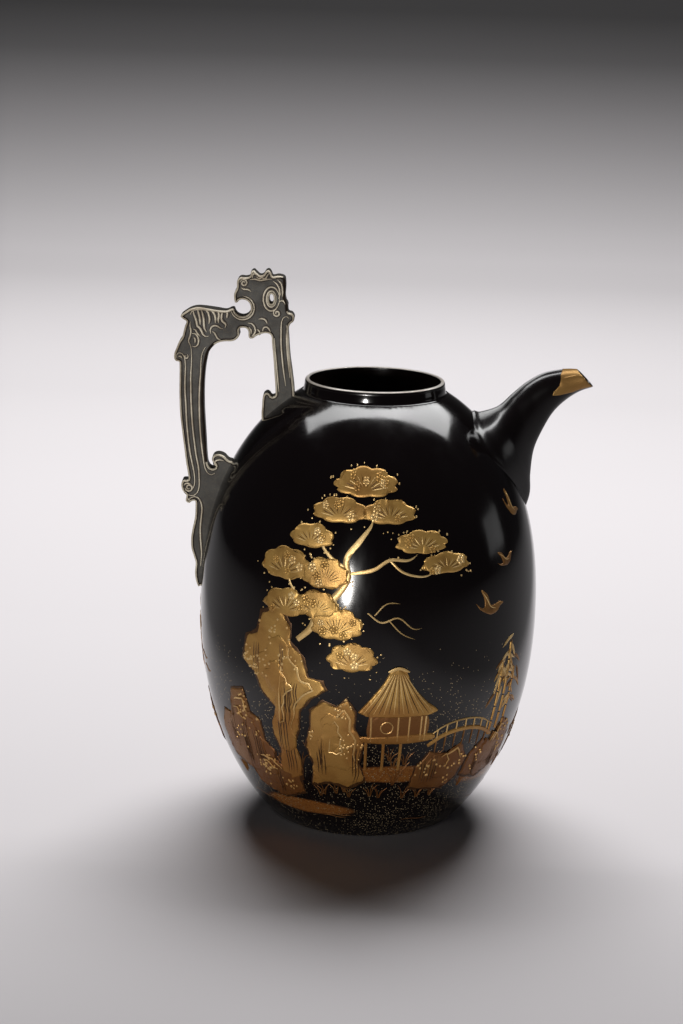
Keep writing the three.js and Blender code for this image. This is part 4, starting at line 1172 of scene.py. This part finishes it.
def blossom_cloud(bm, lift, x, z, half_x, half_z, lobes):
    plate(bm, billow(x, z, half_x, half_z, lobes, draw.uniform(0, 1)), lift, BRIGHT, edge=CLOUD_EDGE)
    # The fan opens upwards from the middle of the cloud's foot.
    for i in range(FAN_LINES):
        toward = around(0, 0, half_x, half_z * 1.25, math.radians(14 + 152 * i / (FAN_LINES - 1)))
        fan = [Vector((x, z - half_z * 0.35)) + toward * share for share in (0.24, 0.5, 0.78)]
        sweep(bm, smooth_line(fan, 1.4), 0.34, 0.1, -lift + 0.02, (0.3, 0.2), sides=4,
              paint=CUT if i % 2 else LINE)
    for _ in range(round(half_x * half_z / 16)):
        middle = x + draw.uniform(-0.7, 0.7) * half_x, z + draw.uniform(-0.45, 0.75) * half_z
        size, turn = draw.uniform(0.95, 1.3), draw.uniform(0, 72)
        flower(bm, *middle, size, lift, turn, LINE if draw.random() < PALE_BLOSSOMS else BRIGHT)
    for _ in range(round(half_x)):
        angle, reach = draw.uniform(0, math.tau), draw.uniform(1.12, 1.4)
        petal = around(x, z, half_x * reach, half_z * reach, angle)
        dot(bm, *petal, draw.uniform(0.3, 0.5), 0.05, LINE)


print("lines in a fan:", FAN_LINES)

# %% The whole tree
CLOUD_LIFT, CLOUD_STEP = 0.42, 0.14  # neighbours differ in height, so that they part
bm = bmesh.new()
for start, end, bough in BOUGHS:
    sweep(bm, smooth_line(bough, 1.1), (start, end), 0.62, 0.3, (0.7, 0.2), sides=8, paint=LINE)
for number, cloud in enumerate(CLOUDS):
    blossom_cloud(bm, CLOUD_LIFT + CLOUD_STEP * (number % 3), *cloud)
wrap_piece(bm, on_body, "relief_plum_tree")

# %% [markdown]
# ## Hut, bridge and bamboo
#
# Small buildings give such a picture its scale. They could be flat plates with
# painted lines, but posts, thatch and rails catch light as ridges. So only the wall,
# the floor and the roof are plates, and the rest is swept. Bamboo is a chain of short
# ridges with a gap at each joint.

# %% The thatched hut on its posts
HUT_WALL = [(2, 66.5), (2, 56), (28, 56), (28, 66.5)]
HUT_FLOOR = [(-3, 56.6), (33, 56.6), (33, 54.6), (-3, 54.6)]
HUT_ROOF = [(-3, 68), (2, 74), (8, 82), (11, 87), (17, 87), (20, 81), (27, 73), (33, 68), (30, 66.6),
            (15, 65.6), (0, 66.6)]
THATCH_LINES = 15


def upright(x, heights):
    return [Vector((x, z)) for z in heights]


bm = bmesh.new()
plate(bm, smooth_line(HUT_WALL, 2, closed=True), 0.4, LOW)
plate(bm, smooth_line(HUT_ROOF, 1.2, closed=True), 0.85, BRIGHT)
for i in range(THATCH_LINES):
    foot_x, top_x = -0.5 + 2.2 * i, 11.5 + 0.36 * i
    thatch = [(top_x, 85.5), ((top_x + foot_x) / 2 + (foot_x - 15) * 0.04, 75), (foot_x, 67.6)]
    sweep(bm, smooth_line(thatch, 1.3), 0.42, 0.16, -0.83, (0.3, 0.5), paint=CUT if i % 2 else LINE)
sweep(bm, smooth_line([(9.5, 86.6), (14, 88.2), (18.5, 86.6)], 1), 1.5, 0.6, -0.7, (0.5, 0.5), paint=LINE)
sweep(bm, oval(10, 61, 2.7, 2.7, 24), 0.55, 0.3, -0.38, paint=LINE)
for x in (3, 15, 20, 25.5, 27.5):
    sweep(bm, upright(x, (66, 62, 58, 54.5)), 0.8, 0.4, -0.36, paint=LINE)
plate(bm, smooth_line(HUT_FLOOR, 1.5, closed=True), 0.7, BRIGHT)
for x in (1, 9, 17):
    sweep(bm, upright(x, (55, 50, 45, 40)), 1.5, 0.5, 0, paint=BRIGHT)
print("faces of the hut:", len(bm.faces))

# %% The arched bridge
BRIDGE = [(30, 51), (38, 55.5), (48, 57), (58, 55.5), (68, 50.5)]
RAIL_HEIGHT = 4.6
rail = [(x, z + RAIL_HEIGHT) for x, z in BRIDGE]
sweep(bm, smooth_line(BRIDGE, 1.4), 2.0, 0.7, 0, (0.8, 0.8), sides=8, paint=BRIGHT)
sweep(bm, smooth_line(rail, 1.4), 0.8, 0.5, 0, (0.6, 0.6), paint=LINE)
for point in smooth_line(BRIDGE, 5.2)[1:-1]:
    sweep(bm, [point + Vector((0, h)) for h in (0.5, 2.5, RAIL_HEIGHT)], 0.7, 0.45, 0, paint=LINE)
    sweep(bm, [point - Vector((0, h)) for h in (0.5, 4, 8)], 0.9, 0.4, 0, (1, 0.5), paint=LOW)
print("faces of the hut and the bridge:", len(bm.faces))

# %% Bamboo
# A stem: its x, its foot, its top and its width.
BAMBOO = [(66, 50, 84, 1.3), (71, 52, 92, 1.5), (76, 50, 80, 1.2), (158, 48, 118, 1.7), (165, 52, 132, 2.0),
          (173, 54, 124, 1.8), (181, 50, 108, 1.5), (-196, 50, 104, 1.6), (-203, 48, 92, 1.4),
          (-124, 48, 96, 1.5), (-117, 50, 88, 1.3)]
JOINTS, LEAVES = 5, 12
LEAF_TURNS = (200, 225, 250, 300, 325, 345)
for x, z, top, width in BAMBOO:
    joints = [z + (top - z) * i / JOINTS for i in range(JOINTS + 1)]
    for low, high in zip(joints, joints[1:]):
        stem = [(x + (low - z) * 0.06, low + 0.4), (x + (high - z) * 0.06, high - 0.3)]
        sweep(bm, smooth_line(stem, 1.6), width, 0.5, 0, sides=8, paint=BRIGHT)
    for _ in range(LEAVES):
        root = Vector((x + (top - z) * 0.05 + draw.uniform(-3, 3), draw.uniform((z + top) / 2, top + 3)))
        angle = math.radians(draw.choice(LEAF_TURNS) + draw.uniform(-8, 8))
        length = draw.uniform(6, 10)
        leaf = [root, root + Vector((math.cos(angle), math.sin(angle))) * length * 0.5,
                root + Vector((math.cos(angle), math.sin(angle) - 0.15)) * length]
        sweep(bm, smooth_line(leaf, 1.2), (1.9, 0.9), 0.36, 0, (0.25, 0.1),
              paint=draw.choice((BRIGHT, LOW, LINE)))
wrap_piece(bm, on_body, "relief_hut_and_bamboo")

# %% [markdown]
# ## Plovers, mist, grass and water
#
# The rest is drawn low and dull, so that it lies behind the tree and the rocks. A
# bird is one small plate, drawn once and turned, sized or mirrored for each place.
# Mist and water are flat ridges, and grass is tufts of four blades.

# %% Plovers
PLOVER = [(-6.4, 1.6), (-4.2, 0.3), (-2.2, 0.2), (-2.6, 3.2), (-4.4, 6.2), (-1.2, 4.6), (0.8, 1.2),
          (3.2, 1.4), (5.0, 2.2), (7.4, 1.8), (5.6, 0.6), (4.2, -1.2), (1.2, -2.2), (-1.4, -1.6),
          (-4.0, -0.6)]
WING = [(-3.6, 5.2), (-1.6, 3.2), (0.6, 0.6), (3, 0)]
# A bird's place, its size, its turn in degrees, and -1 for one that flies the other way.
FLOCK = [(57, 110, 1.25, -8, 1), (84, 148, 1.1, -28, 1), (70, 128, 0.9, 14, 1), (-150, 128, 1.1, 12, -1),
         (-165, 112, 0.9, -6, 1), (200, 140, 1.0, 8, 1), (218, 122, 0.85, -16, 1)]


def flown(points, x, z, size, turn, side):
    c, n = math.cos(math.radians(turn)) * size, math.sin(math.radians(turn)) * size
    return [(x + side * (px * c - pz * n), z + px * n + pz * c) for px, pz in points]


bm = bmesh.new()
for bird in FLOCK:
    plate(bm, smooth_line(flown(PLOVER, *bird), 0.8, closed=True), 0.42, LOW, edge=[(0.2, 0.5), (0.25, 0.3)])
    sweep(bm, smooth_line(flown(WING, *bird), 0.8), 0.5, 0.2, -0.38, (0.3, 0.3), paint=LINE)
print("plovers:", len(FLOCK))

# %% Mist, grass and water
# A drift of mist: its middle and its length.
MIST = [(-176, 96, 34), (-168, 90, 26), (-190, 88, 20), (-230, 116, 26), (214, 100, 30), (224, 94, 22),
        (132, 104, 18), (136, 99, 14), (-100, 74, 14), (-96, 69, 12)]
# Along a line, its length is divided by the first number, and the second is the rise.
MIST_WAVE = [(-2, 0), (-6, 1.0), (5, -0.6), (2, 0.3)]
WATER_WAVE = [(-2, 0), (-5, 0.5), (5, -0.4), (2, 0.1)]
TUFTS, RIPPLES = 96, 16


def wave(x, z, length, shape):
    return smooth_line([(x + length / part, z + rise) for part, rise in shape], 2)


for x, z, length in MIST:
    sweep(bm, wave(x, z, length, MIST_WAVE), 1.5, 0.25, 0.03, (0.15, 0.15), paint=LOW)
for _ in range(TUFTS):
    x, z = draw.uniform(-232, 232), draw.uniform(24, 46)
    for lean in (-2.6, -1.0, 1.2, 2.8):
        height = draw.uniform(4, 8)
        blade = [(x + lean * 0.2, z), (x + lean * 0.6, z + height * 0.6), (x + lean * 1.5, z + height)]
        sweep(bm, smooth_line(blade, 1.4), 0.42, 0.2, 0.0, (0.8, 0.1), sides=4, paint=LOW)
for _ in range(RIPPLES):
    x, z, length = draw.uniform(-230, 230), draw.uniform(9, 20), draw.uniform(10, 26)
    sweep(bm, wave(x, z, length, WATER_WAVE), 0.42, 0.12, 0.02, (0.1, 0.1), sides=4, paint=LOW)
wrap_piece(bm, on_body, "relief_birds_and_grass")

# %% [markdown]
# ## The spout's gold beak
#
# The spout's tip is gilded, and the gold runs back in two points along its sides. It
# could be a second material on the spout, but its edge would follow the faces there
# and look stepped. A thin plate wrapped on the spout has a clean edge of its own.

# %% Cut the beak from a plate and wrap it on the spout
LIP_Z = 99.6
BEAK = [(98, 64.5), (90, 66), (80, 71.5), (60, 74), (42, 75), (20, 78), (0, 80)]
BEAK_FOOT = [(112, 70), (134, 80.5), (142, 93), (147, LIP_Z)]
half = [*reversed(BEAK), *BEAK_FOOT]
outline = half + [(20 * i, LIP_Z) for i in range(6, -7, -1)] + [(-a, r) for a, r in reversed(half)][:-1]
bm = bmesh.new()
plate(bm, [Vector(p) for p in outline], 0.16, BRIGHT, edge=[(0.5, 0.5), (0.6, 0.3)], cell=5, foot=0.2)
wrap_piece(bm, on_spout, "spout_gold_beak", 60, [gold_beak])

# %% [markdown]
# ## The camera
#
# It looks down a little from in front, as the photographer did. A camera can be aimed
# by eye or with a constraint. Here its three axes are worked out from pitch, roll and
# yaw, because a photographer's small roll needs all three.

# %% The camera stands where the photographer's stood
FOCAL, PITCH, ROLL, YAW = 85.0, 13.9964, 1.64642, -0.71731
CAMERA_PLACE = (0, -1.040, 0.395799)
pitch, roll, yaw = (math.radians(a) for a in (PITCH, ROLL, YAW))
ahead = Vector((math.sin(yaw) * math.cos(pitch), math.cos(yaw) * math.cos(pitch), -math.sin(pitch)))
level = Vector((math.cos(yaw), -math.sin(yaw), 0))
upright_axis = level.cross(ahead)
right = level * math.cos(roll) + upright_axis * math.sin(roll)
upward = upright_axis * math.cos(roll) - level * math.sin(roll)
camera_data = bpy.data.cameras.new("camera")
camera_data.lens, camera_data.sensor_width = FOCAL, 36
camera = into_scene("camera", camera_data)
turned_so = Matrix((right, upward, -ahead)).transposed().to_4x4()
camera.matrix_world = Matrix.Translation(CAMERA_PLACE) @ turned_so
bpy.context.scene.camera = camera
print("camera, metres:", CAMERA_PLACE)

# %% [markdown]
# ## The lights
#
# Black lacquer shows its lights more than itself. A long curved band of light lies on
# the real one's shoulder. One soft box would mirror as a block with straight sides. So
# a bank of narrow strips hangs over the ewer, and the bowed front and back edges of the
# bank draw the curve. A low lamp in front lights the gold, a dim card at the right
# draws a faint streak, and a card behind draws one along the top of the spout.

# %% Soft lights
def soft_light(name, place, target, size, power, colour=(1, 1, 1), shape="RECTANGLE"):
    lamp = bpy.data.lights.new(name, "AREA")
    lamp.shape, lamp.size, lamp.size_y = shape, *size
    lamp.energy, lamp.color = power, colour
    holder = into_scene(name, lamp)
    aim = (Vector(target) - Vector(place)).to_track_quat("-Z", "Y")
    holder.matrix_world = Matrix.Translation(place) @ aim.to_matrix().to_4x4()
    return holder


# Each pair is an x and the y of the bank's front or back edge there.
BOX_FRONT = [(-0.92, 0.20), (-0.70, 0.195), (-0.485, 0.134), (-0.29, 0.09), (-0.02, 0.064), (0.255, 0.095),
             (0.52, 0.157), (0.75, 0.225), (1.08, 0.364)]
BOX_BACK = [(-0.92, 0.65), (-0.53, 0.57), (-0.28, 0.35), (-0.05, 0.24), (0.18, 0.28), (0.42, 0.475),
            (0.62, 0.83), (0.82, 1.35), (1.08, 1.3)]
BOX_LEFT, BOX_LENGTH, BOX_HEIGHT, STRIPS = BOX_FRONT[0][0], 2.0, 1.3, 32
STRIP_WIDTH = BOX_LENGTH / STRIPS
# Watts for each square metre: at the ends, more in the middle, where that is, and its spread.
GLOW_ENDS, GLOW_MORE, GLOW_MIDDLE, GLOW_SPREAD = 24, 22, 0.12, 0.5


def edge_at(line, x):
    """The y of a straight-run line at an x."""
    for (x0, y0), (x1, y1) in zip(line, line[1:]):
        if x <= x1:
            return y0 + (y1 - y0) * (x - x0) / (x1 - x0)
    return line[-1][1]


ewer_lights = []
for i in range(STRIPS):
    x = BOX_LEFT + STRIP_WIDTH * (i + 0.5)
    front, back = edge_at(BOX_FRONT, x), edge_at(BOX_BACK, x)
    glow = GLOW_ENDS + GLOW_MORE * math.exp(-((x - GLOW_MIDDLE) / GLOW_SPREAD) ** 2)
    y, size = (front + back) / 2, (STRIP_WIDTH, back - front)
    ewer_lights.append(soft_light(f"box_strip_{i}", (x, y, BOX_HEIGHT), (x, y, 0), size,
                                  glow * size[0] * size[1]))
print("strips:", STRIPS, "watts in all:", round(sum(holder.data.energy for holder in ewer_lights), 1))

# %% Lamps and cards, in three groups by what they light
ewer_lights += [soft_light("front_lamp", (-0.30, -1.22, 0.155), (0, 0, 0.12), (0.14, 0.30), 10,
                           (1, 0.97, 0.93), "ELLIPSE"),
                soft_light("side_card", (1.03, 0.14, 0.27), (0, 0, 0.12), (0.30, 0.22), 0.16)]
spout_lights = [soft_light("spout_card", (-0.35, 1.6, 0.9), (0.07, 0, 0.2), (1.1, 0.9), 7)]
sheet_lights = [soft_light("shadow_lamp", (0.02, 0.91, 1.46), (0, 0.33, 0), (1.35, 0.85), 41.5),
                soft_light("backdrop_light", (0, 0.9, 1.3), (0, 1.9, 0.83), (1.6, 0.5), 12.3)]

world = bpy.data.worlds.new("studio")
world.use_nodes = True
world.node_tree.nodes["Background"].inputs["Color"].default_value = (0.02, 0.02, 0.022, 1)
bpy.context.scene.world = world
bpy.context.scene.view_settings.view_transform = "Standard"
print("lights:", len(ewer_lights + spout_lights + sheet_lights))

# %% [markdown]
# ## Floor and backdrop
#
# One pale sheet of paper runs from in front of the ewer to behind it and bends up
# there, so that no line shows where the floor ends. It pales and darkens again with
# distance. A lamp could do that, but the lacquer would mirror the lamp, so this light
# and shade is painted into the paper's own colour. It is also painted darker to the
# sides, outside the picture, as shade, because the lacquer mirrors that part.

# %% The paper's colour
HEIGHT_COUNTS = 4  # a metre up the bend changes the colour as this many metres along the floor
sheet_paint = Paint("backdrop", roughness=0.9)
away = sheet_paint.along(1)
run = away + sheet_paint.along(2) * HEIGHT_COUNTS
# Metres along the sheet, and its painted light and shade there: dim in front, pale behind, dark at the top.
SHEET_PAINTED_LIGHT = [(-0.60, 0.22), (-0.27, 0.52), (-0.207, 0.583), (-0.123, 0.655), (-0.05, 0.68), (0.1, 0.668),
         (0.25, 0.642), (0.448, 0.578), (0.707, 0.503), (0.95, 0.45), (1.45, 0.445), (1.75, 0.44),
         (1.9, 0.40), (2.15, 0.314), (2.41, 0.224), (2.67, 0.14), (2.93, 0.062), (3.19, 0.026)]
span = SHEET_PAINTED_LIGHT[-1][0] - SHEET_PAINTED_LIGHT[0][0]
stops = [((at - SHEET_PAINTED_LIGHT[0][0]) / span, (tone, tone * 0.955, tone * 0.975)) for at, tone in SHEET_PAINTED_LIGHT]
share = sheet_paint.add("ShaderNodeMapRange", None,
                        {"Value": run, "From Min": SHEET_PAINTED_LIGHT[0][0], "From Max": SHEET_PAINTED_LIGHT[-1][0]})
pale = sheet_paint.add("ShaderNodeValToRGB", {"stops": stops}, {0: share})
# The paper is also painted dark to the sides, as shade.
outside = sheet_paint.step(abs(sheet_paint.along(0)) - away * 0.15, 0.162, 0.27, 0, 0.66)
sheet_paint.feed(base_color=sheet_paint.mix(outside, pale, (0.02, 0.02, 0.02)))
print("tones along the paper:", len(SHEET_PAINTED_LIGHT))

# %% The paper itself
PAPER_FRONT, PAPER_BEND, BEND_RADIUS, PAPER_TOP, PAPER_HALF = -1.6, 1.6, 0.6, 1.9, 1.9
bend_turns = [math.radians(7.5 * i) for i in range(1, 13)]
bend = [(PAPER_BEND + BEND_RADIUS * math.sin(a), BEND_RADIUS - BEND_RADIUS * math.cos(a)) for a in bend_turns]
paper_line = [(PAPER_FRONT, 0), (PAPER_BEND, 0), *bend, (PAPER_BEND + BEND_RADIUS, PAPER_TOP)]
bm = bmesh.new()
verts = [bm.verts.new((-PAPER_HALF, y, z)) for y, z in paper_line]
edges = [bm.edges.new(pair) for pair in zip(verts, verts[1:])]
made = bmesh.ops.extrude_edge_only(bm, edges=edges)["geom"]
bmesh.ops.translate(bm, vec=(2 * PAPER_HALF, 0, 0), verts=only(BMVert, made))
bmesh.ops.recalc_face_normals(bm, faces=bm.faces)
backdrop = into_scene("backdrop", mesh_from(bm, "backdrop", [sheet_paint]))

# The bank, the front lamp and the side card draw highlights, and leave the paper's
# soft shadow to the lamp behind.
for name, holders, piece, state in (("all_but_sheet", ewer_lights, backdrop, "EXCLUDE"),
                                    ("sheet", sheet_lights, backdrop, "INCLUDE"),
                                    ("spout", spout_lights, spout, "INCLUDE")):
    group = bpy.data.collections.new(f"lit_{name}")
    group.objects.link(piece)
    group.collection_objects[0].light_linking.link_state = state
    for holder in holders:
        holder.light_linking.receiver_collection = group
print("faces of the paper:", len(backdrop.data.polygons))

# %% [markdown]
# ## The CAD's box
#
# The dressed ewer must lie inside the CAD's box.
